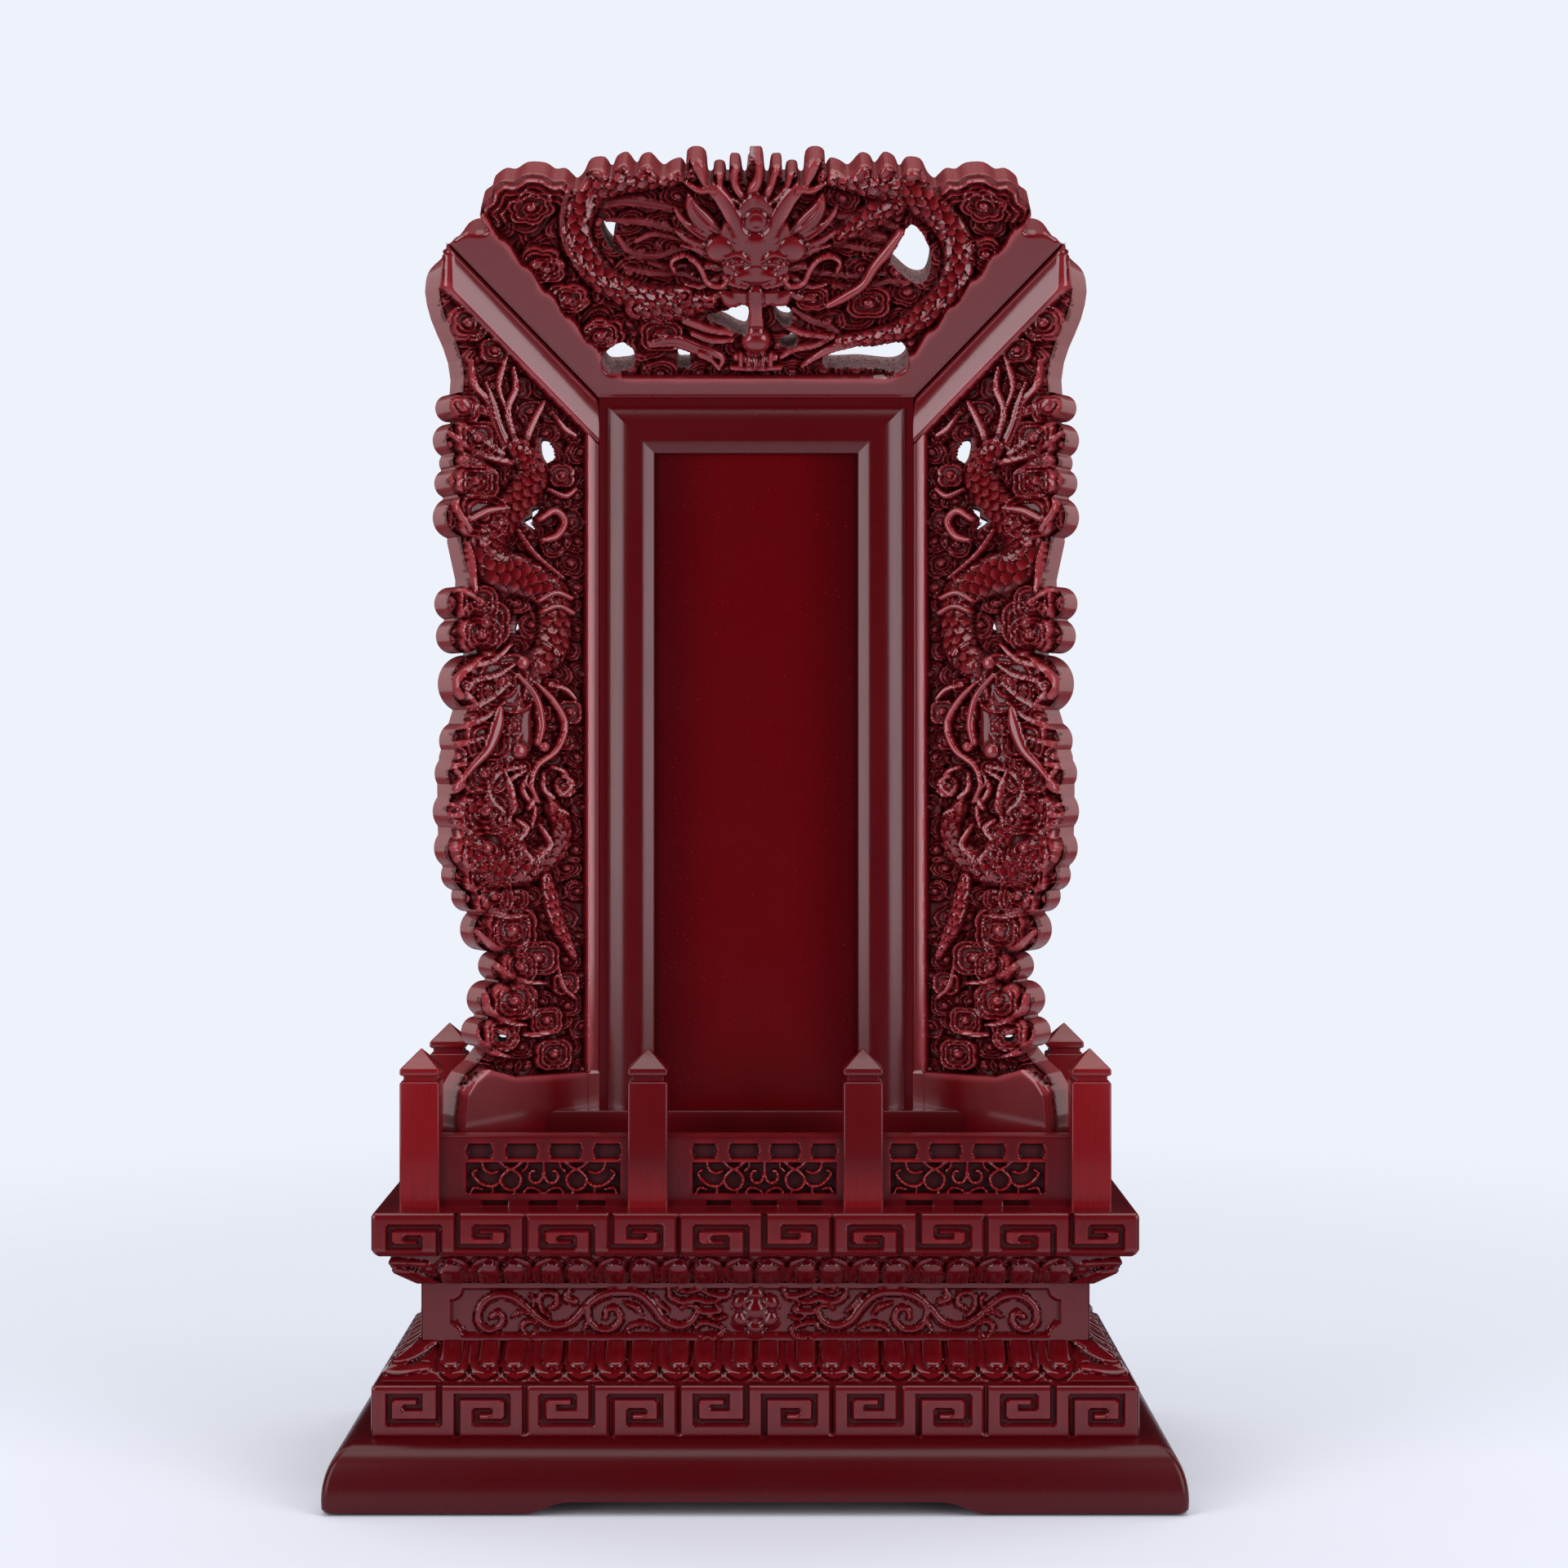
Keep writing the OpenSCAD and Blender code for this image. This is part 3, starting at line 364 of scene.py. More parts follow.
    def polygonInside(self, points):
        p = np.array(points, float)
        distance = np.full(self.u.shape, 1e6)
        crossing = np.zeros(self.u.shape, bool)
        for a, b in zip(p, np.roll(p, -1, axis=0)):
            e = b - a
            t = np.clip(((self.u - a[0]) * e[0] + (self.v - a[1]) * e[1]) / max(e @ e, 1e-9), 0, 1)
            distance = np.minimum(distance, np.hypot(self.u - a[0] - t * e[0], self.v - a[1] - t * e[1]))
            over = (a[1] > self.v) != (b[1] > self.v)
            if a[1] != b[1]:
                crossing ^= over & (self.u < (b[0] - a[0]) * (self.v - a[1]) / (b[1] - a[1]) + a[0])
        return np.where(crossing, distance, -distance)

    def discInside(self, at, radius):
        return radius - np.hypot(self.u - at[0], self.v - at[1])

    def pierce(self, points):
        loop = smoothLoop(points)
        self.loops.append(loop)
        hole = -self.polygonInside(loop)
        self.holes = np.minimum(self.holes, hole)
        self.inside = np.minimum(self.inside, hole)

    def hollow(self, reach, scale):
        return np.clip((self.h - blurred(self.h, reach)) / scale, -1, 1)


def scalePattern(a, b):
    row = np.floor(a)
    x = a - row

    def plate(turn, run):
        y = (b + 0.5 * (turn % 2)) % 1.0 - 0.5
        length = 0.55 + 0.75 * np.sqrt(np.clip(1 - (y / 0.5) ** 2, 0, 1))
        return np.where(run < length, run / length - 0.9 * y ** 2, -1.0)

    under = np.maximum(plate(row, x), 0.0)
    over = plate(row - 1, x + 1)
    return np.where(over > -0.5, over, under)


def finishPiece(obj, name, body, material, node, angle=38):
    clear()
    obj.select_set(True)
    bpy.context.view_layer.objects.active = obj
    bpy.ops.object.mode_set(mode="EDIT")
    bpy.ops.mesh.select_all(action="SELECT")
    bpy.ops.mesh.normals_make_consistent(inside=False)
    if bmesh.from_edit_mesh(obj.data).calc_volume(signed=True) < 0:  # pierced boards may come out reversed
        bpy.ops.mesh.flip_normals()
    bpy.ops.object.mode_set(mode="OBJECT")
    bpy.ops.object.shade_smooth_by_angle(angle=math.radians(angle))
    obj.name = name
    obj.data.name = name
    obj.data.materials.clear()
    obj.data.materials.append(material)
    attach(obj, body)
    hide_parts(node)
    return obj


def gridObject(countU, countV):
    clear()
    bpy.ops.mesh.primitive_grid_add(x_subdivisions=countU - 1, y_subdivisions=countV - 1, size=1.0)
    obj = bpy.context.object
    assert len(obj.data.vertices) == countU * countV
    return obj


def setPoints(obj, points):
    obj.data.vertices.foreach_set("co", np.ascontiguousarray(points, dtype=np.float32).ravel())
    obj.data.update()


def getPoints(obj):
    flat = np.empty(len(obj.data.vertices) * 3, np.float32)
    obj.data.vertices.foreach_get("co", flat)
    return flat.reshape(-1, 3).astype(float)


def setValue(obj, name, values):
    layer = obj.data.attributes.get(name) or obj.data.attributes.new(name, "FLOAT", "POINT")
    layer.data.foreach_set("value", np.ascontiguousarray(values, dtype=np.float32).ravel())


def getValue(obj, name):
    values = np.empty(len(obj.data.vertices), np.float32)
    obj.data.attributes[name].data.foreach_get("value", values)
    return values


def selectFaces(obj, mask):
    bpy.context.tool_settings.mesh_select_mode = (False, False, True)
    obj.data.vertices.foreach_set("select", np.zeros(len(obj.data.vertices), bool))
    obj.data.edges.foreach_set("select", np.zeros(len(obj.data.edges), bool))
    obj.data.polygons.foreach_set("select", mask)


def chosen(obj):
    mask = np.empty(len(obj.data.vertices), bool)
    obj.data.vertices.foreach_get("select", mask)
    return mask


def flattenTo(obj, mask, depth, further):
    points = getPoints(obj)
    points[mask, 0] += getValue(obj, "leanU")[mask] * further
    points[mask, 1] += getValue(obj, "leanV")[mask] * further
    points[mask, 2] = -depth
    setPoints(obj, points)


def within(loop, at):
    a = loop
    b = np.roll(loop, -1, axis=0)
    over = (a[:, 1] > at[1]) != (b[:, 1] > at[1])
    rise = np.where(b[:, 1] == a[:, 1], 1.0, b[:, 1] - a[:, 1])
    return np.sum(over & (at[0] < (b[:, 0] - a[:, 0]) * (at[1] - a[:, 1]) / rise + a[:, 0])) % 2 == 1


def selectRims():
    bpy.context.tool_settings.mesh_select_mode = (True, False, False)
    bpy.ops.mesh.select_all(action="DESELECT")
    bpy.ops.mesh.select_non_manifold(extend=False, use_wire=False, use_boundary=True, use_multi_face=False,
                                     use_non_contiguous=False, use_verts=False)


def closeBack(obj, carving, thick):
    ring = np.flatnonzero(chosen(obj))
    place = {int(v): i for i, v in enumerate(ring)}
    points = getPoints(obj)
    edges = [tuple(e.vertices) for e in obj.data.edges if e.select]
    edges = [(place[a], place[b]) for a, b in edges if a in place and b in place]
    flat = [Vector(points[v, :2]) for v in ring]
    made = delaunay_2d_cdt(flat, edges, [], 1, 0.00001)
    mesh = bmesh.new()
    mesh.from_mesh(obj.data)
    mesh.verts.ensure_lookup_table()
    for face in made[2]:
        sources = [made[3][i] for i in face]
        middle = np.mean([made[0][i][:] for i in face], axis=0)
        if all(sources) and not any(within(loop + carving.bore * thick, middle) for loop in carving.loops):
            corners = [mesh.verts[int(ring[source[0]])] for source in sources]
            if len(set(corners)) == len(corners) and not mesh.faces.get(corners):
                mesh.faces.new(corners)
    mesh.to_mesh(obj.data)
    mesh.free()


sawn = dict(shadeAndTone=0.55, sunk=0.7)  # look of a sawn wall: lightened by the painted highlight value, dulled and darkened by the painted shade value
sawnSteps = (0.3, 0.65, 0.985, 1.0)  # its rows of points, as shares of the thickness


def sawnFinish(obj, mask):
    for name, value in sawn.items():
        values = getValue(obj, name)
        values[mask] = value
        setValue(obj, name, values)


def carvedBoard(carving, board, thick, wallSteps):
    rows, columns = carving.u.shape
    obj = gridObject(columns, rows)
    inside = carving.inside
    slopeV, slopeU = np.gradient(inside, carving.step[1], carving.step[0])
    size = np.maximum(np.hypot(slopeU, slopeV), 1e-6)
    kept = inside > -0.7 * carving.step[0]
    whole = kept[:-1, :-1] & kept[1:, :-1] & kept[:-1, 1:] & kept[1:, 1:]
    around = np.pad(whole, 1)
    touching = around[:-1, :-1] & around[1:, :-1] & around[:-1, 1:] & around[1:, 1:]
    # the rim goes onto the outline
    push = np.where(touching, 0, np.clip(-inside, -0.75 * carving.step[0], 60))
    u = carving.u + push * slopeU / size
    v = carving.v + push * slopeV / size
    setPoints(obj, np.stack([u, v, carving.h], -1).reshape(-1, 3))
    # painted shade in the recesses and painted highlight on the ridges of the relief
    setValue(obj, "shadeAndTone", carving.hollow(4, 1.1))
    setValue(obj, "raw", np.zeros(u.size))
    setValue(obj, "bore", np.clip(2.0 - carving.holes, 0, 1))
    # duller ground, darkened as painted shade
    setValue(obj, "sunk", np.clip(carving.sunkFrom - carving.h, 0, 1))
    setValue(obj, "leanU", carving.leanU)
    setValue(obj, "leanV", carving.leanV)
    corner = np.empty(len(obj.data.loops), np.int32)
    obj.data.loops.foreach_get("vertex_index", corner)
    keep = kept.ravel()[corner].reshape(-1, 4).all(1)
    selectFaces(obj, ~keep)  # what lies beyond the outline goes
    bpy.ops.object.mode_set(mode="EDIT")
    bpy.ops.mesh.delete(type="FACE")
    selectRims()
    bpy.ops.object.mode_set(mode="OBJECT")
    sawnFinish(obj, chosen(obj))
    bpy.ops.object.mode_set(mode="EDIT")
    before = 0.0
    for depth in wallSteps:  # walls down to the back
        bpy.ops.mesh.extrude_edges_move()
        bpy.ops.object.mode_set(mode="OBJECT")
        mask = chosen(obj)
        flattenTo(obj, mask, depth * thick, depth * thick - before)
        before = depth * thick
        raw = getValue(obj, "raw")
        raw[mask] = getValue(obj, "bore")[mask] * (depth < 1)
        setValue(obj, "raw", raw)
        sawnFinish(obj, mask)
        bpy.ops.object.mode_set(mode="EDIT")
    bpy.ops.object.mode_set(mode="OBJECT")
    closeBack(obj, carving, thick)
    setPoints(obj, board(getPoints(obj)) * mm)
    return obj


def skin(sections):
    sections = np.array(sections, float)
    rows, columns = sections.shape[:2]
    looped = np.concatenate([sections, sections[:, :1]], 1)
    obj = gridObject(columns + 1, rows)
    setPoints(obj, looped.reshape(-1, 3) * mm)
    return obj


def closeSkin(obj):
    bpy.context.view_layer.objects.active = obj
    bpy.ops.object.mode_set(mode="EDIT")
    bpy.context.tool_settings.mesh_select_mode = (True, False, False)
    bpy.ops.mesh.select_all(action="SELECT")
    bpy.ops.mesh.remove_doubles(threshold=0.000004)
    selectRims()
    bpy.ops.mesh.fill_holes(sides=0)
    bpy.ops.mesh.select_all(action="SELECT")
    bpy.ops.mesh.normals_make_consistent(inside=False)
    bpy.ops.object.mode_set(mode="OBJECT")
    return obj


def roundRect(halfX, halfY, radius, steps=4):
    points = []
    for cornerX, cornerY, start in ((1, 1, 0), (-1, 1, 90), (-1, -1, 180), (1, -1, 270)):
        for i in range(steps + 1):
            a = math.radians(start + 90 * i / steps)
            points.append((cornerX * (halfX - radius) + radius * math.cos(a),
                           cornerY * (halfY - radius) + radius * math.sin(a)))
    return np.array(points)


class Sight:
    def __init__(self, origin, axisU, axisV):
        self.origin = np.array(origin, float)
        self.axisU = np.array(axisU, float)
        self.axisV = np.array(axisV, float)
        self.normal = np.cross(self.axisU, self.axisV)

    def point(self, x, y):
        start = np.array([eye["x"], eye["y"], eye["z"]])
        ray = np.array([(x - eye["middleX"]) / eye["focal"], 1.0, (eye["middleY"] - y) / eye["focal"]])
        far = self.normal @ (self.origin - start) / (self.normal @ ray)
        on = start + far * ray - self.origin
        return on @ self.axisU, on @ self.axisV, far / eye["focal"]

    def path(self, view, points, flip=False):
        rows = []
        for row in points:
            x = 2 * view["middle"] - row[0] if flip else row[0]
            u, v, size = self.point(view["x"] + x / view["scale"], view["y"] + row[1] / view["scale"])
            rows.append((u, v) + tuple(w / view["scale"] * size for w in row[2:]))
        return rows


cosTilt = math.cos(tilt)
sinTilt = math.sin(tilt)
coreHalf = 46.0
coreFront = -8.0
coreTop = 312.5
boardThick = 14.0
lean = boardThick * math.tan(tilt / 2)
crestSight = Sight((0, coreFront, coreTop), (1, 0, 0), (0, -sinTilt, cosTilt))
wingSight = Sight((-coreHalf, coreFront, deck), (-cosTilt, -sinTilt, 0), (0, 0, 1))
# parts of the frame that the carving's points are read in: corner, enlargement and middle, in pixels
headView = dict(x=660, y=160, scale=3.136, middle=832)
topView = dict(x=500, y=150, scale=1.823)
upperView = dict(x=500, y=350, scale=2.412)
lowerView = dict(x=500, y=950, scale=3.336)


def onCrest(points):
    u, v, n = points.T
    y = coreFront - v * sinTilt - n * cosTilt
    return np.stack([u, y, coreTop + v * cosTilt - n * sinTilt], -1)


def onRightWing(points):
    u, v, n = points.T
    y = coreFront - u * sinTilt - n * cosTilt
    return np.stack([coreHalf + u * cosTilt - n * sinTilt, y, deck + v], -1)


def onLeftWing(points):
    return onRightWing(points) * (-1, 1, 1)


def pillow(inside, radius):
    x = np.clip(radius - inside, 0, radius)
    return radius - np.sqrt(np.maximum(radius ** 2 - x ** 2, 0))


def chisel(c, sight, view=headView, strands=(), balls=(), clouds=(), grooves=(), both=False, **shape):
    flips = (False, True) if both else (False,)
    for rows in strands:
        for flip in flips:
            c.strand(sight.path(view, rows, flip), **shape)
    for kind, spots in ((c.ball, balls), (c.cloud, clouds)):
        for spot in spots:
            for flip in flips:
                u, v, r = sight.path(view, [spot[:3]], flip)[0]
                own = dict(zip(["squash"], spot[3:]))  # a cloud may bring its own
                kind((u, v), r, **shape, **own)
    for rows in grooves:
        c.groove(sight.path(view, rows), **shape)


def openAndRound(c, sight, holes, rim, edgeRound):
    for view, hole in holes:
        c.pierce([row[:2] for row in sight.path(view, hole)])
    c.h -= pillow(rim, edgeRound)
    c.h -= 0.5 * pillow(c.holes, 1.2)
    c.sunkFrom = -1.5


unrounded = 30.0  # as far from an edge as needed to stay flat
crest = dict(step=0.38, ground=-4.4, band=12.5, sill=6.3, edgeRound=1.2, top=71.9,
             earU=52.5, earV=53.5, earDeep=6.6, earLines=(1.7, 3.6, 5.5),  # ears at both ends of the top
             corner=(87, 47.4), drawU=0.72, drawV=0.39)  # end corner, sawn round by drawing it in
cornerReach = 22  # in square mm
crestEdge = [(95, 0), (95, 38), (88.1, 46.6), (85.7, 49.1), (82.3, 50.6), (77.8, 50.6), (76.4, 52.0),
             (78.2, 54.6), (77.8, 58.4), (75.4, 60.4), (74.6, 63.0), (71.4, 65.4), (68.4, 65.2), (65, 67.2),
             (60, 67.0), (57.2, 65.2), (54.4, 65.4), (52.4, 63.6), (51, 62.5), (49, 64.5), (47, 68.2),
             (43, 68.7), (41, 66), (39.5, 69), (36.5, 70.2), (34, 67), (32.5, 69.3), (29.8, 70),
             (26.5, 66.5), (24, 67.8), (21.2, 68.5), (19.6, 66), (19.6, 70.5), (17, 72), (14.2, 70.5),
             (13.6, 65), (12.2, 65), (11.8, 67.3), (10.3, 67.9), (8.8, 67.2), (8.3, 64.5), (7.6, 64.8),
             (7.3, 69.3), (5.9, 69.9), (4.4, 69.2), (3.7, 65), (2.6, 65.2), (1.9, 71.3), (0, 72)]
crestHoles = [[(236, 372), (300, 368), (292, 400), (282, 440), (300, 474), (352, 492), (300, 488),
               (252, 440)],
              [(1432, 376), (1478, 420), (1508, 500), (1490, 590), (1440, 600), (1385, 560), (1352, 512),
               (1392, 432)],
              [(640, 735), (720, 705), (800, 684), (800, 790), (770, 798), (715, 770)],
              [(904, 690), (945, 688), (974, 718), (965, 765), (925, 760), (904, 730)],
              [(922, 825), (950, 800), (992, 806), (985, 845), (935, 850)],
              [(240, 885), (275, 845), (330, 836), (364, 868), (362, 925), (320, 938), (262, 936)],
              [(530, 865), (552, 858), (576, 866), (580, 925), (555, 932), (530, 925)],
              [(1098, 880), (1180, 852), (1290, 846), (1396, 834), (1418, 900), (1366, 940), (1230, 930),
               (1105, 930)],
              [(548, 496), (562, 490), (574, 499), (560, 509)],
              [(1082, 516), (1098, 506), (1112, 512), (1098, 526)],
              [(1190, 504), (1210, 494), (1232, 502), (1208, 514)],
              [(796, 110), (804, 104), (808, 140), (800, 158), (793, 140)]]
crestScales = dict(high=1.7, long=3.0, rows=2.8)
# strokes of the chisel in their order, as points and half widths in a view; top and dome are heights in mm
crestStrokes = [
    # clouds behind everything
    dict(view=topView, top=-1.1, squash=0.72, turn=0.25, lobes=6,
         clouds=[(273, 196, 52), (285, 325, 56), (355, 405, 48), (430, 482, 52)]),
    dict(view=topView, top=-1.1, squash=0.72, turn=-0.25, hand=-1, lobes=6,
         clouds=[(1285, 192, 52), (1290, 300, 50)]),
    dict(top=-1.3, squash=0.75, hand=-1, clouds=[(1050, 655, 66), (1265, 672, 88)]),
    dict(top=-1.3, squash=0.75, clouds=[(470, 800, 86), (235, 795, 70), (105, 655, 80), (30, 545, 70)]),
    # long cloud strands between head and body
    dict(top=-2.0, dome=1.6, ridges=2, strands=[
        [(230, 300, 20), (330, 285, 26), (450, 300, 24), (545, 320, 12)],
        [(260, 360, 12), (400, 365, 20), (500, 390, 16), (590, 420, 12)],
        [(300, 420, 12), (350, 480, 18), (450, 495, 18), (560, 465, 12), (640, 480, 10)],
        [(370, 440, 10), (430, 412, 14), (500, 420, 12), (560, 440, 8)],
        [(330, 540, 14), (430, 560, 18), (540, 560, 16), (620, 590, 12)],
        [(420, 520, 10), (480, 535, 14), (560, 530, 12)],
        [(1100, 330, 14), (1180, 345, 18), (1280, 350, 20), (1380, 390, 14)],
        [(1080, 420, 14), (1190, 400, 24), (1290, 420, 24), (1370, 440, 12)],
        [(1060, 470, 10), (1150, 450, 16), (1260, 470, 16), (1340, 470, 10)],
        [(960, 545, 12), (1090, 560, 16), (1210, 570, 14), (1330, 560, 12)],
        [(1130, 610, 12), (1240, 620, 14), (1350, 590, 16), (1420, 600, 10)],
        [(980, 700, 14), (1040, 740, 18), (1120, 770, 16), (1160, 800, 8)]]),
    # bodies with scales
    dict(top=-0.9, dome=2.4, scales=crestScales, moat=0.8, strands=[
        [(590, 180, 30), (500, 185, 44), (400, 195, 52), (290, 210, 56), (200, 250, 58), (150, 330, 60),
         (140, 420, 60), (180, 510, 58), (250, 590, 56), (350, 640, 58), (450, 660, 50), (560, 640, 34)],
        [(1090, 190, 30), (1180, 200, 46), (1290, 220, 58), (1400, 240, 62), (1480, 290, 62),
         (1560, 360, 60), (1610, 450, 60), (1610, 560, 60), (1560, 650, 58), (1480, 720, 54),
         (1390, 780, 44), (1270, 810, 34), (1150, 820, 22)]]),
    dict(top=-1.2, dome=2.4, scales=crestScales, strands=[
        [(1370, 300, 40), (1300, 330, 52), (1220, 380, 46), (1150, 420, 30)]]),
    dict(top=-0.9, dome=2.4, scales=crestScales, strands=[
        [(380, 690, 54), (470, 700, 60), (560, 690, 52), (660, 660, 34)]]),
    # crests of fins along the backs
    dict(top=-1.6, dome=1.4, ridges=2, strands=[
        [(215, 175, 16), (300, 150, 22), (390, 150, 22), (500, 150, 18)],
        [(120, 210, 12), (90, 320, 16), (95, 430, 16), (150, 540, 14)],
        [(1200, 150, 16), (1300, 150, 24), (1400, 160, 22), (1480, 200, 16)]]),
    dict(top=-1.2, dome=1.8, strands=[
        [(x, y - 40, 12), (x + 6, y, 30), (x + 10, y + 60, 34)]
        for x, y in ((235, 110), (345, 100), (450, 100), (540, 120), (1420, 120), (1315, 110),
                     (1225, 125))]),
    # limb on the right and claws below
    dict(top=-0.3, dome=1.8, strands=[
        [(1390, 400, 16), (1340, 470, 22), (1290, 530, 20), (1245, 600, 18), (1180, 645, 20),
         (1110, 680, 14)]]),
    dict(top=-1.0, dome=1.8, ridges=2, strands=[
        [(430, 830, 20), (520, 820, 30), (610, 850, 30), (700, 880, 16), (692, 925, 8)],
        [(590, 790, 14), (660, 815, 18), (740, 815, 12)],
        [(620, 870, 18), (660, 890, 14), (690, 925, 8)],
        [(1010, 915, 8), (1060, 880, 16), (1120, 850, 22), (1200, 830, 22)],
        [(930, 880, 10), (985, 850, 14), (1060, 835, 16), (1130, 800, 12)],
        [(940, 760, 10), (1010, 790, 14), (1100, 800, 14)],
        [(560, 740, 20), (650, 775, 18), (740, 790, 12)]]),
    # mane beside the head
    dict(top=-1.1, dome=1.7, ridges=2, both=True, strands=[
        [(720, 440, 26), (650, 425, 24), (585, 385, 20), (540, 340, 14), (520, 305, 6)],
        [(700, 470, 24), (630, 455, 22), (570, 430, 16), (525, 395, 8)],
        [(700, 510, 22), (650, 490, 20), (600, 465, 14), (545, 450, 6)],
        [(690, 540, 20), (650, 530, 18), (625, 545, 10)],
        [(730, 600, 16), (690, 640, 18), (640, 655, 14), (600, 640, 8)],
        [(720, 560, 16), (670, 585, 16), (620, 610, 12), (560, 600, 6)]]),
    dict(top=-0.9, dome=1.6, ridges=3, both=True, strands=[
        [(575, 255, 8), (590, 310, 30), (625, 355, 40), (680, 400, 28), (720, 430, 14)]]),
    dict(top=-2.0, dome=0.6, moat=0, both=True, strands=[[(600, 290, 6), (625, 330, 18), (665, 375, 14)]]),
    # hair flames
    dict(top=-0.7, dome=1.5, strands=[
        [(692, 110, 22), (697, 160, 14), (694, 215, 12), (725, 262, 14), (790, 300, 12)],
        [(750, 90, 20), (762, 140, 14), (748, 190, 14), (762, 238, 16), (805, 290, 18)],
        [(905, 88, 20), (914, 145, 14), (900, 192, 14), (884, 235, 16), (862, 290, 18)],
        [(968, 112, 20), (966, 165, 12), (956, 215, 12), (925, 262, 14), (872, 300, 12)],
        [(640, 140, 12), (650, 190, 10), (640, 215, 8)],
        [(1015, 150, 12), (1010, 195, 10), (1018, 215, 8)]]),
    dict(top=-0.4, dome=1.7, strands=[
        [(826, 70, 26), (846, 140, 16), (842, 195, 18), (822, 245, 26), (832, 310, 40)]]),
    # skull
    dict(top=-0.5, dome=0.5, moat=0.7, strands=[
        [(832, 300, 52), (832, 370, 98), (832, 440, 142), (832, 510, 130), (832, 570, 106),
         (832, 610, 88)]]),
    # horns and their tips
    dict(top=0.0, dome=0.8, moat=0.3, both=True, strands=[
        [(786, 410, 27), (742, 332, 31), (702, 266, 29), (655, 216, 23), (622, 165, 22), (606, 110, 30)]]),
    dict(top=-0.3, dome=1.2, both=True, strands=[[(664, 232, 16), (615, 235, 15), (566, 208, 8)]]),
    # brow and forehead
    dict(top=-0.2, dome=1.0, moat=0.0, strands=[[(760, 420, 30), (832, 440, 46), (904, 420, 30)]]),
    dict(top=0.0, moat=0.6, balls=[(834, 355, 46)]),
    dict(top=-2.0, dome=0.4, moat=0, strands=[[(776, 398, 8), (832, 412, 14), (886, 398, 8)]]),
    # temples and cheeks
    dict(top=0.0, dome=1.0, moat=0.35, both=True, balls=[(692, 462, 52)]),
    dict(top=-0.7, moat=0.1, both=True, balls=[(742, 552, 44)]),
    # eyes between their lids
    dict(top=0.0, dome=1.0, moat=0.3, both=True, strands=[
        [(716, 492, 10), (766, 480, 15), (808, 506, 12)]]),
    dict(top=-0.2, moat=0.2, both=True, balls=[(768, 515, 19)]),
    dict(top=-0.3, dome=0.8, moat=0.2, both=True, strands=[[(728, 520, 7), (762, 543, 9), (802, 536, 7)]]),
    # nose and nostrils
    dict(top=0.0, dome=1.1, moat=0.25, strands=[[(832, 440, 40), (832, 500, 33), (832, 548, 44)]]),
    dict(top=0.0, dome=1.3, moat=0.25, strands=[[(774, 570, 30), (832, 560, 42), (890, 570, 30)]]),
    dict(top=-0.9, moat=0.0, both=True, balls=[(806, 578, 14)]),
    # lips, mouth, jaw and beard
    dict(top=-0.3, dome=1.1, moat=0.25, both=True, strands=[
        [(716, 574, 16), (744, 596, 24), (790, 606, 20)]]),
    dict(depth=1.3, grooves=[[(730, 606, 7), (790, 620, 9), (832, 610, 9), (874, 620, 9), (934, 606, 7)]]),
    dict(top=-0.9, dome=1.4, moat=0.4, both=True, strands=[
        [(706, 636, 16), (740, 658, 36), (792, 648, 24)]]),
    dict(top=-0.6, dome=0.7, moat=0.6, strands=[[(832, 632, 30), (832, 700, 28), (832, 790, 30)]]),
    # whiskers
    dict(top=0.0, dome=1.2, moat=0.5, both=True, strands=[
        [(726, 572, 9), (700, 604, 11), (650, 594, 11), (624, 545, 11), (594, 506, 11), (545, 490, 10),
         (508, 512, 9), (520, 546, 8)]]),
    # pearl on its stand
    dict(top=-0.5, dome=0.8, strands=[[(742, 918, 10), (832, 920, 12), (926, 918, 10)]]),
    dict(top=-0.7, dome=1.4, strands=[[(760, 880, 16), (832, 890, 34), (905, 880, 16)]]),
    dict(top=-0.2, dome=0.9, strands=[[(x, 865, 8), (x, 905, 10)] for x in (775, 804, 832, 860, 889)]),
    dict(top=0.0, dome=3.2, moat=0.8, balls=[(833, 824, 58)])]


def carveCrest():
    c = Carving((-97, 0), (97, 72.2), crest["step"], crest["ground"])
    u = c.u
    v = c.v
    outline = c.polygonInside(smoothLoop(crestEdge + [(-x, y) for x, y in crestEdge[-2::-1]], 3))
    miter = coreHalf + v * cosTilt - np.abs(u)  # distance to the mitre, along x
    outline = np.minimum(outline, miter / math.hypot(1, cosTilt))
    c.inside = np.minimum(np.minimum(outline, crest["top"] - v), v + 1e-6)
    c.h += swirls(c.h.shape)
    c.cloudBank((-84, 8), (86, 70), 9.5, -2.0)
    ear = (np.abs(u) > crest["earU"]) & (v > crest["earV"]) & (outline < crest["earDeep"])
    rings = np.min([np.abs(outline - far) for far in crest["earLines"]], axis=0)
    c.h = np.where(ear, -2.7 + 1.5 * np.exp(-(rings / 0.5) ** 2), c.h)  # lines that follow the ears' edge
    for stroke in crestStrokes:
        chisel(c, crestSight, **stroke)
    # plain borders, higher than the ground
    sill = v < crest["sill"]
    band = miter < crest["band"] + 0.14 * np.clip(np.abs(u) - coreHalf, 0, 60) + 0.7 * np.sin(1.05 * u)
    low = np.minimum(np.where(band, miter, 1e3), np.where(sill, v, 1e3))
    c.h = np.where(sill | band, -0.35 * np.exp(-(low / 1.2) ** 2), np.minimum(c.h, 0.0))
    holes = [(headView, hole) for hole in crestHoles]
    openAndRound(c, crestSight, holes, np.where(miter > 2, outline, unrounded), crest["edgeRound"])
    away = np.hypot(np.abs(u) - crest["corner"][0], v - crest["corner"][1])
    near = np.exp(-away ** 2 / cornerReach)
    c.leanU = np.where(miter < 0.8, np.sign(u) * sinTilt * (1 - crest["drawU"] * near), 0)
    c.leanV = np.where(v < 0.3, -lean / boardThick, -crest["drawV"] * near)
    return c


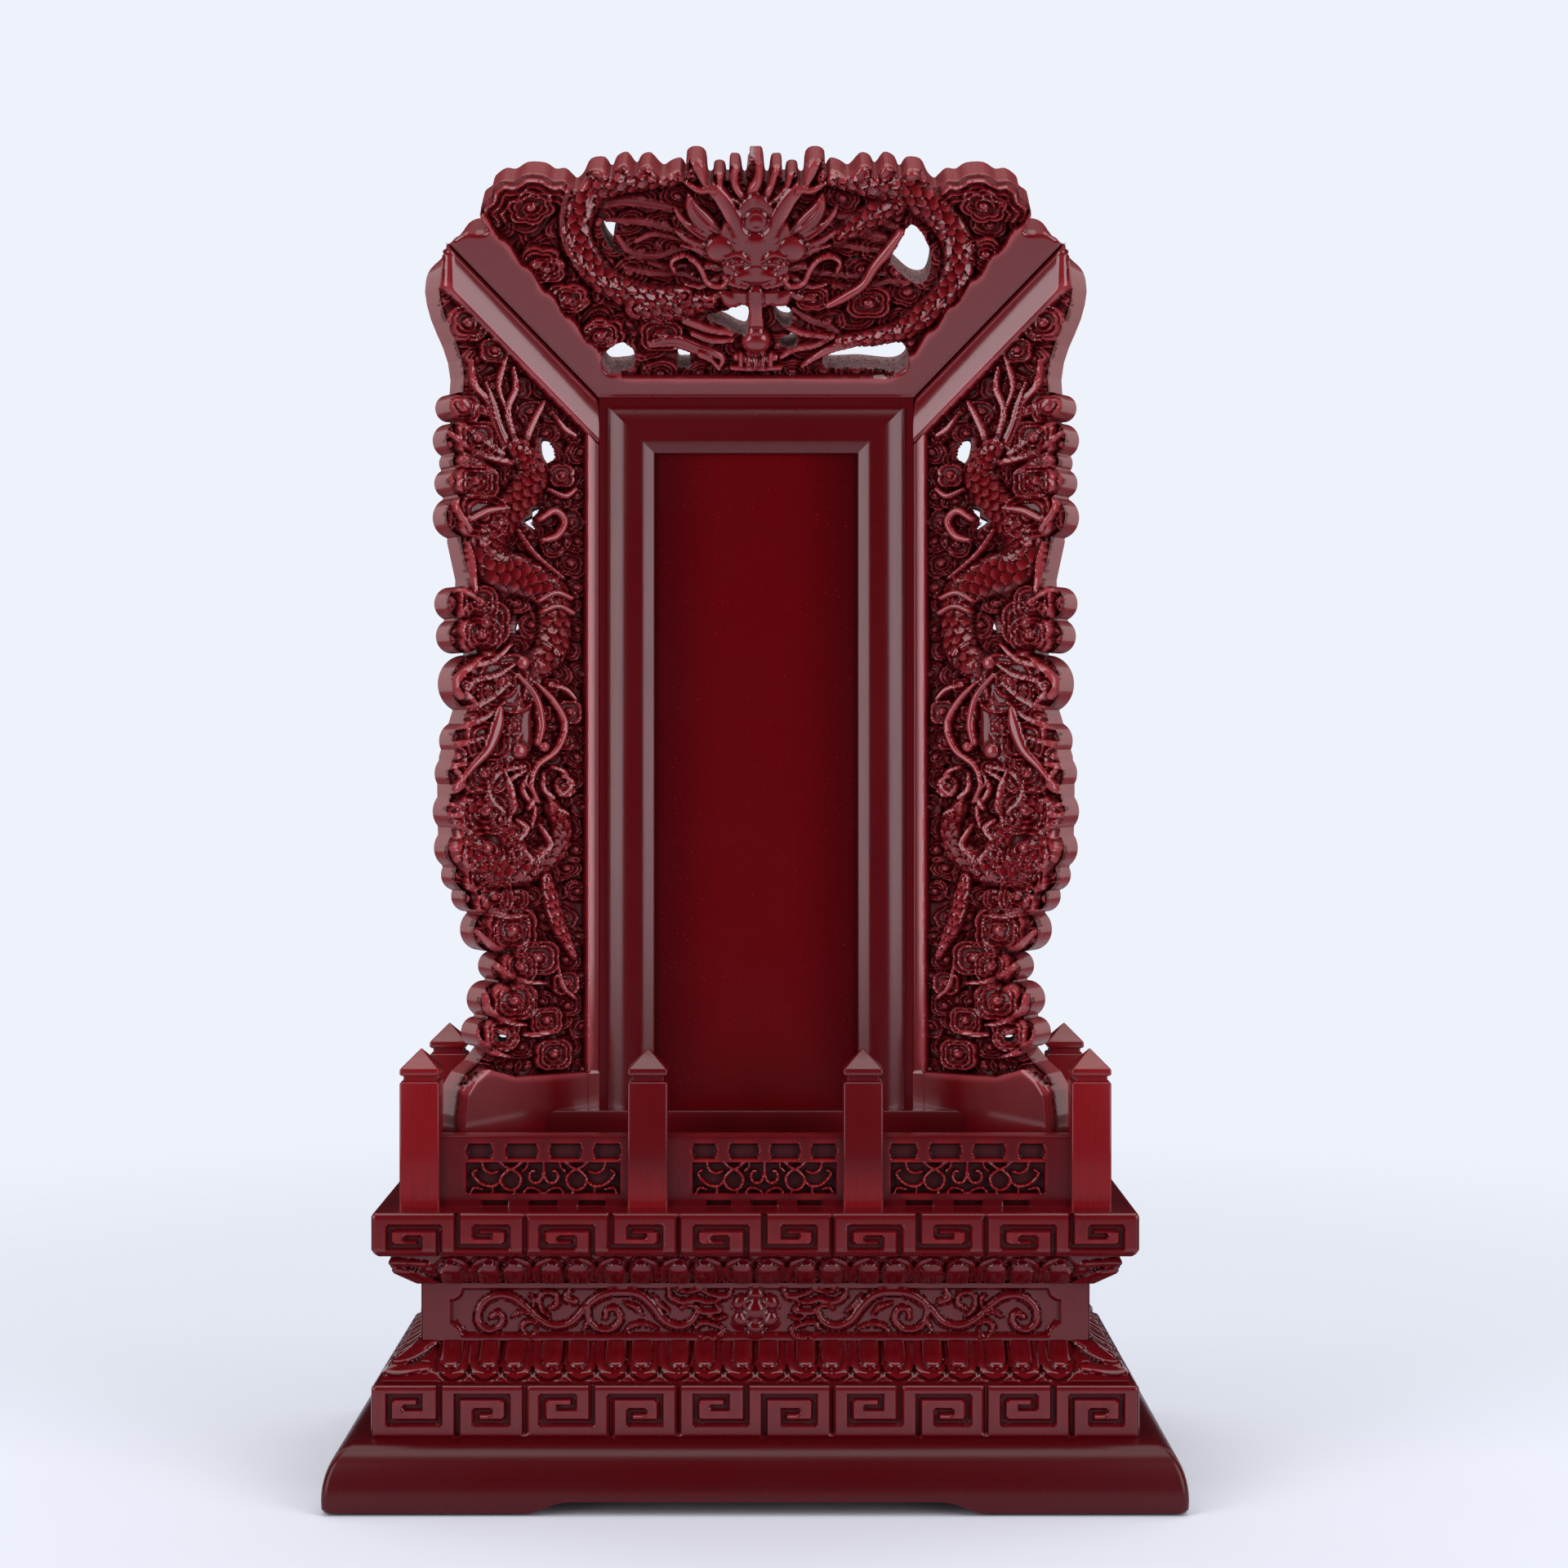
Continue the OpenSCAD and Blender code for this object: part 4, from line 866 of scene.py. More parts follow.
crestPiece = carvedBoard(carveCrest(), onCrest, boardThick, sawnSteps)
finishPiece(crestPiece, "carvedCrest", "tablet", carvedLacquer, "crest")
print("crest carved", len(crestPiece.data.polygons))


wing = dict(step=0.38, ground=-4.4, border=3.6, band=10.2, foot=34.5, edgeRound=2.8,
            corner=(48.6, 273.6), drawU=0.415, drawV=0.665, bore=-0.5,  # bore: how the openings lean
            reach=90.2, reachHigh=44)  # the foot keeps clear of the side rails
wingEdge = [(-1, 0), (45, 0), (45, 24), (44, 31), (41, 35.5), (37, 38.5), (33, 43), (32, 52), (26, 62),
            (27, 70), (33, 80), (37, 85), (41, 90), (44.8, 97), (45.2, 106), (45.4, 118), (44.8, 127),
            (41, 139), (36, 152), (40, 168), (39.7, 178), (42.3, 189), (41, 214), (41.5, 232), (41.2, 236),
            (42.0, 241), (43.6, 245.4), (45.6, 249.4), (47.4, 253.4), (48.6, 257.4), (49.2, 261.1),
            (48.9, 265.8), (48.6, 270), (47, 276), (-1, 290)]
wingLobes = [(42.1, 227.7, 3.9), (41.9, 218.3, 4.9), (42.1, 205.9, 4.2), (40.8, 196, 6), (41.5, 171.1, 4.8),
             (40.8, 161.7, 5), (36.8, 147.9, 8.4), (32, 76.6, 6.2), (28.2, 65.8, 4.3), (30.8, 56.2, 5.3),
             (33.6, 46.8, 4.3), (39.6, 92.6, 4.6), (40.2, 100.4, 6.2), (40.4, 111, 6.4), (40.4, 122, 5.8),
             (39.2, 131.4, 5.6), (41.6, 211.8, 3.2), (36.4, 86.4, 4.6)]
wingHoles = [(upperView, [(392, 448), (420, 450), (444, 480), (442, 510), (418, 524), (398, 500)]),
             (upperView, [(340, 690), (362, 676), (366, 655), (404, 648), (402, 664), (380, 690), (390, 726),
                          (362, 710)]),
             (upperView, [(316, 1000), (326, 984), (338, 996), (338, 1026), (326, 1036), (315, 1020)]),
             (lowerView, [(360, 1075), (385, 1060), (412, 1068), (405, 1086), (375, 1090)]),
             (lowerView, [(285, 475), (300, 465), (308, 480), (296, 490)])]
wingScales = dict(high=1.6, long=2.7, rows=3)
wingStrokes = [
    # clouds
    dict(view=upperView, top=-1.0,
         clouds=[(185, 110, 62, 0.85), (262, 190, 46, 0.8), (172, 362, 52, 0.8), (205, 578, 82, 0.66),
                 (462, 560, 40, 0.9), (236, 996, 84, 0.85), (470, 1480, 34, 0.9), (484, 1260, 40, 0.9)]),
    dict(view=lowerView, top=-1.0,
         clouds=[(440, 505, 72, 0.6), (432, 650, 92, 0.75), (540, 748, 104, 0.72), (450, 928, 104, 0.76),
                 (575, 1004, 74, 0.8), (606, 1142, 84, 0.78), (390, 1080, 74, 0.7), (655, 850, 60, 0.8)]),
    # tail flames at the top
    dict(view=upperView, top=-0.9, dome=1.8, ridges=2, strands=[
        [(195, 215, 5), (205, 290, 12), (245, 340, 14), (262, 400, 14), (290, 475, 14)],
        [(236, 285, 5), (262, 350, 12), (278, 410, 13), (305, 470, 13)],
        [(318, 240, 5), (326, 300, 12), (302, 360, 14), (312, 420, 14), (335, 480, 14)],
        [(410, 340, 5), (386, 385, 12), (366, 430, 13), (350, 490, 13)],
        [(130, 330, 6), (165, 400, 12), (220, 445, 13), (285, 495, 14)],
        [(135, 430, 6), (190, 480, 12), (250, 505, 13), (315, 520, 12)],
        [(300, 200, 5), (285, 250, 10), (275, 300, 10), (290, 350, 8)],
        [(440, 380, 4), (470, 420, 10), (500, 440, 8)]]),
    # scaled body, from the tail down to the neck
    dict(view=upperView, top=-0.9, dome=2.6, scales=wingScales, moat=0.8, strands=[
        [(335, 480, 36), (384, 545, 48), (352, 615, 52), (292, 690, 52), (246, 765, 58), (280, 835, 62),
         (360, 860, 60), (430, 905, 54), (446, 980, 52), (438, 1060, 54), (405, 1120, 46)]]),
    dict(view=upperView, top=-0.3, dome=1.3, moat=0.5, strands=[
        [(395, 690, 8), (440, 664, 11), (468, 695, 11), (446, 738, 11), (404, 752, 8)],
        [(392, 930, 7), (440, 906, 11), (486, 922, 8)],
        [(400, 962, 7), (448, 946, 10), (492, 966, 8)],
        [(330, 720, 4), (380, 790, 7), (462, 862, 5)],
        [(184, 756, 5), (198, 820, 9), (206, 905, 7)],
        [(130, 888, 6), (180, 905, 10), (226, 935, 8)],
        [(150, 660, 6), (180, 690, 10), (240, 665, 12), (300, 655, 8)],
        [(160, 620, 5), (150, 655, 9), (190, 720, 9)],
        [(420, 600, 5), (470, 620, 9), (500, 600, 7)]]),
    # head in profile
    dict(view=upperView, top=-1.5, dome=2.2, ridges=3, moat=0.7, strands=[
        [(400, 1110, 46), (360, 1180, 58), (330, 1260, 62), (330, 1340, 58), (320, 1400, 40)]]),
    dict(view=upperView, top=-0.9, squash=0.85, hand=-1,
         clouds=[(300, 1160, 30), (372, 1205, 30), (306, 1300, 34), (404, 1262, 28), (342, 1426, 30),
                 (238, 1200, 34), (180, 1180, 34), (200, 1275, 30), (430, 1180, 26), (150, 1390, 32),
                 (262, 1420, 30), (470, 1350, 26)]),
    dict(view=upperView, top=-0.6, dome=1.5, ridges=2, strands=[
        [(310, 1060, 6), (260, 1105, 11), (190, 1128, 12), (150, 1175, 12), (168, 1215, 9)],
        [(330, 1110, 6), (270, 1150, 11), (210, 1165, 12), (180, 1200, 10), (210, 1235, 8)],
        [(300, 1180, 6), (255, 1215, 11), (200, 1245, 12), (140, 1262, 8)],
        [(290, 1230, 6), (235, 1275, 11), (170, 1300, 12), (110, 1300, 6)],
        [(240, 1330, 6), (180, 1350, 11), (120, 1365, 10), (90, 1400, 5)],
        [(200, 1410, 6), (140, 1420, 10), (95, 1450, 6)],
        [(350, 1420, 6), (275, 1440, 11), (242, 1495, 11), (252, 1565, 8)],
        [(355, 1430, 6), (302, 1470, 11), (322, 1535, 10), (300, 1580, 6)],
        [(360, 1440, 6), (345, 1490, 10), (380, 1545, 9), (370, 1600, 6)],
        [(420, 1180, 6), (470, 1190, 9), (500, 1220, 6)],
        [(430, 1420, 6), (470, 1440, 9), (485, 1500, 8), (455, 1505, 6)],
        [(410, 1490, 5), (440, 1540, 9), (480, 1560, 7)]]),
    dict(view=upperView, top=0.0, dome=1.5, moat=0.6, strands=[
        [(275, 1250, 10), (268, 1300, 22), (240, 1370, 17), (190, 1425, 12), (138, 1495, 6)]]),
    dict(view=upperView, top=0.0, dome=1.3, moat=0.6, strands=[
        [(380, 1172, 6), (432, 1225, 10), (468, 1296, 10), (444, 1370, 10), (386, 1418, 9), (368, 1475, 8),
         (388, 1525, 6)]]),
    dict(view=upperView, top=-0.3, dome=1.2, strands=[
        [(330, 1150, 8), (380, 1210, 12), (400, 1290, 12), (390, 1350, 10)]]),
    dict(view=upperView, top=0.0, balls=[(345, 1115, 22), (336, 1374, 26)]),
    dict(view=upperView, top=-0.1, balls=[(408, 1362, 16)]),
    # coil with scales and claws
    dict(view=lowerView, top=-0.9, dome=2.6, scales=wingScales, moat=0.8, strands=[
        [(330, 120, 40), (245, 150, 62), (235, 230, 72), (290, 330, 84), (400, 380, 80), (520, 370, 66),
         (620, 295, 54), (640, 200, 46), (600, 125, 36)]]),
    dict(view=lowerView, top=-1.0, dome=2.4, scales=wingScales, strands=[
        [(380, 180, 46), (440, 250, 56), (470, 320, 40)]]),
    dict(view=lowerView, top=-0.6, dome=2.2, scales=wingScales, strands=[
        [(575, 420, 26), (600, 520, 36), (622, 600, 34), (660, 680, 26), (690, 745, 12)]]),
    dict(view=lowerView, top=-0.5, dome=1.6, ridges=2, strands=[
        [(205, -30, 8), (235, 30, 14), (185, 70, 12), (120, 50, 6)],
        [(330, 20, 8), (345, 90, 16), (400, 150, 12)],
        [(400, -20, 8), (432, 60, 15), (440, 145, 10)],
        [(480, 20, 8), (525, 80, 14), (500, 135, 10)],
        [(560, -10, 8), (560, 50, 14), (600, 90, 12)],
        [(640, 0, 8), (676, 30, 13), (640, 75, 10), (610, 40, 8)],
        [(110, 110, 6), (160, 105, 12), (220, 130, 8)],
        [(120, 170, 6), (170, 160, 12), (230, 170, 8)],
        [(160, 210, 6), (210, 205, 14), (260, 225, 8)],
        [(450, 180, 8), (492, 215, 18), (462, 262, 14)],
        [(545, 200, 8), (590, 280, 16), (548, 335, 16), (520, 405, 10)],
        [(470, 290, 8), (508, 350, 16), (468, 425, 10)],
        [(430, 300, 8), (440, 370, 12), (410, 430, 8)],
        [(250, 440, 6), (300, 480, 12), (340, 540, 12), (420, 570, 8)],
        [(230, 555, 8), (330, 560, 14), (420, 580, 12), (500, 570, 6)],
        [(300, 640, 8), (360, 700, 14), (430, 720, 8)],
        [(350, 740, 8), (400, 800, 14), (480, 840, 14), (570, 850, 8)],
        [(330, 880, 8), (345, 960, 14), (420, 1010, 14), (490, 1020, 8)],
        [(300, 1010, 8), (300, 1080, 14), (360, 1130, 16), (420, 1150, 8)],
        [(480, 1060, 8), (530, 1060, 14), (600, 1050, 8)],
        [(620, 780, 6), (640, 860, 12), (690, 910, 8)]])]


def carveWing():
    c = Carving((0, 0), (51, 276), wing["step"], wing["ground"])
    u = c.u
    v = c.v
    outline = c.polygonInside(wingEdge)
    for x, y, r in wingLobes:
        outline = np.maximum(outline, c.discInside((x, y), r))
    miter = (coreTop - deck + u * cosTilt - v) / math.hypot(1, cosTilt)
    room = (wing["reach"] - coreHalf) / cosTilt - u + 100 * (v > wing["reachHigh"])
    c.inside = np.minimum(np.minimum(outline, miter), np.minimum(room, np.minimum(u, v) + 1e-6))
    c.h += swirls(c.h.shape)
    c.cloudBank((5, 36), (50, 270), 8.0, -2.0)
    # rolls that run into the lobes of the edge
    for x, y, r in wingLobes:
        c.ball((x - 2.5, y), r * 1.1, -2.0, dome=1.6)
        if r > 4:
            c.cloud((x - r * 0.8, y), r * 1.3, -0.6, 0.85)
        else:
            c.strand([(x, y, r * 0.7), (x - 5, y - 1, r * 0.5), (x - 9, y - 3, 0.8)], -1.2, 1.6)
    for stroke in wingStrokes:
        chisel(c, wingSight, **stroke)
    # plain borders and foot
    side = u < wing["border"]
    band = miter < wing["band"]
    foot = v < wing["foot"] + 2.6 * np.clip((u - 27) / 8, 0, 1) - 4.5 * np.clip((u - 36) / 6, 0, 1)
    rim = 0.08 * (u - 3.2) - 0.012 * (u - 1.6) ** 2
    rim -= 0.8 * np.clip((u - wing["border"] + 0.6) / 0.6, 0, 1) ** 2
    edge = np.clip(1 - miter / 1.2, 0, 1) ** 2
    roll = np.clip((miter - wing["band"] + 1.4) / 1.4, 0, 1) ** 2
    arch = -0.02 * (miter - 7.2) ** 2 - 0.2 * edge - 0.8 * roll + uneven(c.h.shape, 11, 0.1)
    c.h = np.minimum(c.h, -0.1)
    c.h = np.where(side, rim, c.h)
    c.h = np.where(foot, np.where(side, 0.0, -0.05), c.h)
    c.h = np.where(band, arch, c.h)
    free = (u > 3) & (v > 2) & (miter > 1)  # away from the joints
    openAndRound(c, wingSight, wingHoles, np.where(free, outline, unrounded), wing["edgeRound"])
    near = np.exp(-((u - wing["corner"][0]) ** 2 + (v - wing["corner"][1]) ** 2) / cornerReach)
    c.bore = np.array([wing["bore"], 0.0])
    c.leanU = np.where(u < 0.3, -lean / boardThick, -wing["drawU"] * near)
    c.leanU = np.where(c.holes < 0.6, c.bore[0], c.leanU)
    c.leanV = np.where((miter < 0.6) & (u < 49.5), sinTilt * (1 - wing["drawV"] * near), 0)
    return c


wingCarving = carveWing()
for name, place in (("left_wing", onLeftWing), ("right_wing", onRightWing)):
    piece = carvedBoard(wingCarving, place, boardThick, sawnSteps)
    finishPiece(piece, "carved_" + name, "tablet", carvedLacquer, name)
print("wings carved", len(piece.data.polygons))


def ringColumns(front, side, halfX, halfY, profile, low):
    sections = []
    heights, insets = np.array(profile, float).T
    for row in range(front.u.shape[0]):
        z = front.v[row, 0]
        inset = np.interp(z, heights, insets)
        line = []
        for turn in range(4):
            face = front if turn % 2 == 0 else side
            halfLong = halfX if turn % 2 == 0 else halfY
            halfOut = halfY if turn % 2 == 0 else halfX
            depth = inset - face.h[row]
            x = np.clip(face.u[row], depth - halfLong, halfLong - depth)
            y = depth - halfOut
            a = math.radians(90 * turn)
            line.append(np.stack([x * math.cos(a) - y * math.sin(a), x * math.sin(a) + y * math.cos(a),
                                  np.full(x.shape, low + z)], -1)[:-1])
        sections.append(np.concatenate(line))
    return np.array(sections)


def ringValues(front, side):
    return np.concatenate([front[:, :-1], side[:, :-1], front[:, :-1], side], 1)


def withRims(rows):
    return np.concatenate([rows[:1], rows, rows[-1:]])


def ringBlock(front, side, halfX, halfY, profile, low, reach=3, scale=1.2):
    sections = withRims(ringColumns(front, side, halfX, halfY, profile, low))
    for end in (0, -1):  # a narrow flat rim keeps the top and bottom flat in their shading
        corner = sections[end].max(0)[:2] - 1.0
        sections[end][:, :2] = np.clip(sections[end][:, :2], -corner, corner)
    obj = skin(sections)
    # painted shade in the recesses and painted highlight on the ridges of the relief
    setValue(obj, "shadeAndTone", withRims(ringValues(front.hollow(reach, scale), side.hollow(reach, scale))))
    # duller ground, darkened as painted shade
    sunk = [np.clip(face.sunkFrom - face.h, 0, 1) for face in (front, side)]
    setValue(obj, "sunk", withRims(ringValues(*sunk)))
    return closeSkin(obj)


def softCorner(c, half, radius):
    c.h -= pillow(half - np.abs(c.u), radius)


pedestal = dict(halfX=107.0, halfY=52.0, step=0.5)
levels = dict(plinth=18.2, lowerLotus=32.6, waist=42.8, upperLotus=59.0, upperFret=68.4)
fret = dict(groove=0.85, cut=1.6, wide=0.325, inset=0.115, turn=0.62, hook=0.34, core=0.42, bevel=0.12,
            low=4.2, high=3.0, frontPairs=5, sidePairs=2)  # wide and inset are shares of the pitch


def fretKey(c, x, wide, openZ, farZ, nearZ, hand):
    core = nearZ + (farZ - nearZ) * fret["core"]
    turn = fret["turn"] * wide
    bevel = fret["bevel"]
    rows = [(wide, openZ), (wide, farZ), (0, farZ), (0, nearZ), (turn, nearZ), (turn, core),
            (fret["hook"] * wide, core)]
    lines = list(zip(rows[:-1], rows[1:]))
    for end, other in ((farZ, nearZ), (nearZ, farZ)):  # the raised key turns round at its outer corners
        lines.append(((bevel * wide, end), (0, end + bevel * (other - end))))
    for line in lines:
        c.groove([(x + hand * u, v, fret["groove"]) for u, v in line], 1.8 * fret["cut"])


def fretFace(half, high, pairs, upsideDown):
    c = Carving((-half, 0), (half, high), pedestal["step"], 0.0)
    pitch = 2 * half / pairs
    wide = fret["wide"] * pitch
    inset = fret["inset"] * pitch
    for i in range(pairs):
        x = i * pitch - half
        fretKey(c, x + inset, wide, high - 0.6, fret["low"], high - fret["high"], 1)
        fretKey(c, x + pitch - inset, wide, 0.8, high - fret["high"], fret["low"], -1)
        if i:
            c.groove([(x, 1.6, fret["groove"]), (x, high - 0.6, fret["groove"])], fret["cut"])
    c.h = np.maximum(c.h, -fret["cut"])
    if upsideDown:
        c.h = c.h[::-1].copy()
    c.sunkFrom = -0.5
    softCorner(c, half, 1.2)
    return c


def fretBlock(name, low, high, upsideDown, profile):
    front = fretFace(pedestal["halfX"], high, fret["frontPairs"], upsideDown)
    side = fretFace(pedestal["halfY"], high, fret["sidePairs"], upsideDown)
    piece = ringBlock(front, side, pedestal["halfX"], pedestal["halfY"], profile, low)
    return finishPiece(piece, name + "_carved", "base", fretLacquer, name)


fretBlock("lower_fret_block", levels["plinth"], 14.4, False,
          [(0, 0.3), (0.5, 0), (13.7, 0), (14.2, 0.3), (14.4, 0.7)])
deckBlock = fretBlock("upper_fret_block", levels["upperFret"], 12.3, True,
                      [(0, 2.0), (0.8, 0.9), (2.0, 0), (11.2, 0), (11.9, 0.3), (12.3, 0.9)])
print("fret blocks carved")


def lotusFace(half, high, petals):
    c = Carving((-half, 0), (half, high), petals["step"], 0.0)
    wide = petals["pitch"] / 4
    back = petals["back"]
    tip = petals["tip"]
    way = petals["way"]  # -1 hangs down, 1 rises
    rise = petals["rise"]
    last = int((half - petals["cornerRoom"]) / wide - 0.5) // 2 * 2 + 1
    for i in range(-last, last + 1, 2):
        x = i * wide
        hem = tip + way * petals["hem"]
        c.strand([(x, back, 1.04 * wide), (x, hem, 1.04 * wide)], rise + 0.25, 0.5, moat=0.8)
        near = x - 0.2 * wide * np.sign(i - 4 * round(i / 4))  # the two bodies of a pair stand close
        body = petals["body"] * wide
        c.strand([(near, back, body + 0.75), (near, tip, body + 0.75)], rise - 0.2, 0.0, moat=0.0)
        c.groove([(near, back, body + 0.9), (near, tip, body + 0.9)], 1.7)
        c.strand([(near, back, body), (near, tip, body)], rise + 1.1, 1.5, moat=0.3)
    for hand in (-1, 1):  # a curled leaf and its tip at each corner
        def leaf(rows, top, dome, moat):
            path = [(hand * (half - share * petals["cornerRoom"]), z, w) for share, z, w in rows]
            c.strand(path, top, dome, moat=moat)

        leaf([(0.95, back, 1.6), (0.6, (back + tip) / 2, 3.0), (0.26, tip, 2.8)], rise + 1.2, 1.9, 0.6)
        leaf([(0.9, tip + 2.6 * way, 1.0), (0.4, tip + 3.2 * way, 1.3), (0.06, tip + 2.4 * way, 1.3)],
             rise + 0.4, 1.1, 0.4)
    return c


petalRow = dict(step=0.45, pitch=17.8, cornerRoom=17.0)
lowerPetals = dict(petalRow, back=10.4, tip=6.9, way=-1, body=0.66, hem=0.8, rise=0.6)
upperPetals = dict(petalRow, back=-0.2, tip=3.8, way=1, body=0.72, hem=0.3, rise=0.5)


def lotusRow(name, low, high, petals, profile):
    front = lotusFace(pedestal["halfX"], high, petals)
    side = lotusFace(pedestal["halfY"], high, petals)
    piece = ringBlock(front, side, pedestal["halfX"], pedestal["halfY"], profile, low)
    return finishPiece(piece, name + "_carved", "base", reliefLacquer, name)


lotusRow("lower_lotus", levels["lowerLotus"], 10.2, lowerPetals,
         [(0, 3.0), (1.0, 2.6), (3.0, 3.4), (5.5, 6.4), (8.5, 11.2), (10.2, 13.2)])
lotusDeck = lotusRow("upper_lotus", levels["upperLotus"], 9.4, upperPetals,
                     [(0, 13.0), (1.5, 11.0), (4.0, 7.4), (7.0, 5.2), (9.4, 4.8)])
print("lotus rows carved")


waist = dict(halfX=94.5, halfY=39.5, high=16.2, step=0.45, margin=8.2, edge=1.3, notch=3.4, depth=1.5,
             petals=6, bossX=4.6, bossZ=4.4)
waistSight = Sight((0, -waist["halfY"], levels["waist"]), (1, 0, 0), (0, 0, 1))
waistView = dict(x=440, y=1440, scale=3.0154)
waistStrands = [[(487, 522, 9), (512, 508, 10), (528, 530, 10), (510, 562, 10), (468, 570, 11),
                 (438, 535, 12), (446, 482, 12), (492, 446, 12), (556, 446, 12), (610, 480, 12),
                 (660, 528, 12), (720, 556, 12), (785, 540, 12), (835, 486, 13), (890, 444, 14),
                 (955, 430, 15), (1030, 438, 15), (1085, 482, 15), (1125, 535, 14), (1180, 558, 13),
                 (1228, 538, 12), (1252, 494, 10)],
                [(846, 478, 8), (846, 530, 11), (880, 566, 11), (930, 568, 11), (962, 532, 11),
                 (948, 494, 10), (914, 496, 9), (908, 524, 9)],
                [(700, 492, 7), (728, 474, 9), (724, 440, 9), (690, 430, 9), (664, 452, 9), (672, 494, 8),
                 (700, 520, 6)],
                [(776, 424, 8), (764, 452, 12), (796, 466, 10)],
                [(612, 586, 6), (600, 556, 9), (626, 538, 9), (660, 550, 6)],
                [(640, 590, 8), (652, 572, 7)],
                [(566, 520, 5), (598, 504, 9), (640, 516, 5)],
                [(630, 440, 5), (644, 458, 8), (640, 486, 5)],
                [(826, 574, 5), (838, 548, 8), (846, 524, 5)],
                [(980, 580, 6), (1004, 556, 9), (1050, 548, 8), (1100, 566, 5)],
                [(975, 470, 5), (1020, 486, 9), (1044, 512, 5)],
                [(1085, 440, 5), (1108, 474, 9), (1140, 500, 6)],
                [(1142, 420, 8), (1150, 448, 10), (1192, 468, 10), (1240, 458, 10), (1290, 470, 9),
                 (1330, 458, 7)],
                [(1172, 420, 6), (1212, 430, 9), (1262, 422, 9), (1300, 440, 9), (1356, 446, 10),
                 (1374, 418, 8)],
                [(1190, 486, 7), (1230, 480, 9), (1268, 506, 10), (1330, 500, 9), (1318, 478, 6)],
                [(1240, 566, 7), (1262, 544, 9), (1310, 552, 9), (1344, 572, 9), (1312, 594, 8),
                 (1262, 590, 6)],
                [(1290, 522, 5), (1320, 530, 8), (1352, 520, 5)]]


def waistFace(half, scrolled):
    high = waist["high"]
    farX = half - waist["margin"]
    farZ = high - waist["edge"]
    c = Carving((-half, 0), (half, high), waist["step"], 0.0)
    field = np.minimum(farX - np.abs(c.u), np.minimum(c.v - waist["edge"], farZ - c.v))
    for x in (-farX, farX):
        for z in (waist["edge"], farZ):
            field = np.minimum(field, -c.discInside((x, z), waist["notch"]))
    c.h -= waist["depth"] * np.clip(field / 0.7, 0, 1)
    if scrolled:
        for rows in waistStrands:
            path = waistSight.path(waistView, rows)
            for mirrored in (False, True):
                c.strand([(1.1 - u if mirrored else u, v, w * 1.15) for u, v, w in path], -0.1, 0.9,
                         moat=0.45)
        for i in range(waist["petals"]):
            a = 2 * math.pi * (i + 0.5) / waist["petals"]
            at = (waist["bossX"] * math.cos(a), high / 2 + waist["bossZ"] * math.sin(a))
            c.ball(at, 2.5, -0.3, dome=1.4)
        c.ball((0, high / 2), 3.3, 0.0, dome=2.2, moat=0.6)
    else:
        for hand in (-1, 1):
            c.strand([(hand * 8, 8, 1.3), (hand * 12, 12, 1.5), (hand * 18, 10, 1.5), (hand * 22, 5, 1.5),
                      (hand * 27, 6, 1.2)], -0.2, 1.3)
            c.strand([(hand * 10, 4, 1.0), (hand * 15, 5.5, 1.3), (hand * 18, 8, 1.0)], -0.4, 1.1)
        c.ball((0, high / 2), 3.3, 0.0, dome=2.0)
    c.h = np.minimum(c.h, 0.0)
    softCorner(c, half, 0.8)
    return c


waistPiece = ringBlock(waistFace(waist["halfX"], True), waistFace(waist["halfY"], False), waist["halfX"],
                       waist["halfY"], [(0, 0), (waist["high"], 0)], levels["waist"], 3, 1.6)
finishPiece(waistPiece, "waist_block_carved", "base", reliefLacquer, "waist_block")
print("waist carved")


plinthSpec = dict(halfX=119.25, halfY=64.5, corner=2.0, nose=8.5, noseHigh=14.7, high=levels["plinth"],
                  apronHalf=65.0, apronRun=14.0, apronHigh=3.6)


def plinthPiece():
    rows = [(1.6, 0.0), (0.7, 0.4), (0.1, 1.4)]  # inset and height
    for i in range(13):
        a = math.radians(90 * i / 12)
        rows.append((plinthSpec["nose"] * (1 - math.cos(a)),
                     plinthSpec["high"] - plinthSpec["noseHigh"] * (1 - math.sin(a))))
    sections = []
    for inset, z in rows:
        ring = roundRect(plinthSpec["halfX"] - inset, plinthSpec["halfY"] - inset, plinthSpec["corner"])
        sections.append(np.column_stack([ring, np.full(len(ring), z)]))
    return closeSkin(skin(sections))


def apronCutter():
    half = plinthSpec["apronHalf"]
    edge = [(half - plinthSpec["apronRun"] * i / 10,
             plinthSpec["apronHigh"] * (1 - math.cos(math.pi * i / 10)) / 2)
            for i in range(11)]
    loop = [(half, -2.0)] + edge + [(-x, z) for x, z in edge[::-1]] + [(-half, -2.0)]
    return closeSkin(skin([[(x, y, z) for x, z in loop] for y in (-70.0, 70.0)]))


def cutWith(obj, cutter):
    clear()
    obj.select_set(True)
    bpy.context.view_layer.objects.active = obj
    modifier = obj.modifiers.new("cut", "BOOLEAN")
    modifier.object = cutter
    modifier.operation = "DIFFERENCE"
    modifier.solver = "EXACT"
    bpy.ops.object.modifier_apply(modifier=modifier.name)
    bpy.data.objects.remove(cutter)


plinth = plinthPiece()
cutWith(plinth, apronCutter())
finishPiece(plinth, "plinth_rounded", "base", plinthLacquer, "plinth_board", 30)

tenonHole = dict(wide=60.3, deep=8.3, y=-1.0, past=0.5)


def mortise(low, high):
    clear()
    bottom = low - tenonHole["past"]
    top = high + tenonHole["past"]
    bpy.ops.mesh.primitive_cube_add(size=1.0, location=(0, tenonHole["y"] * mm, (bottom + top) / 2 * mm),
                                    scale=(tenonHole["wide"] * mm, tenonHole["deep"] * mm,
                                           (top - bottom) * mm))
    bpy.ops.object.transform_apply(location=True, rotation=True, scale=True)
    return bpy.context.object


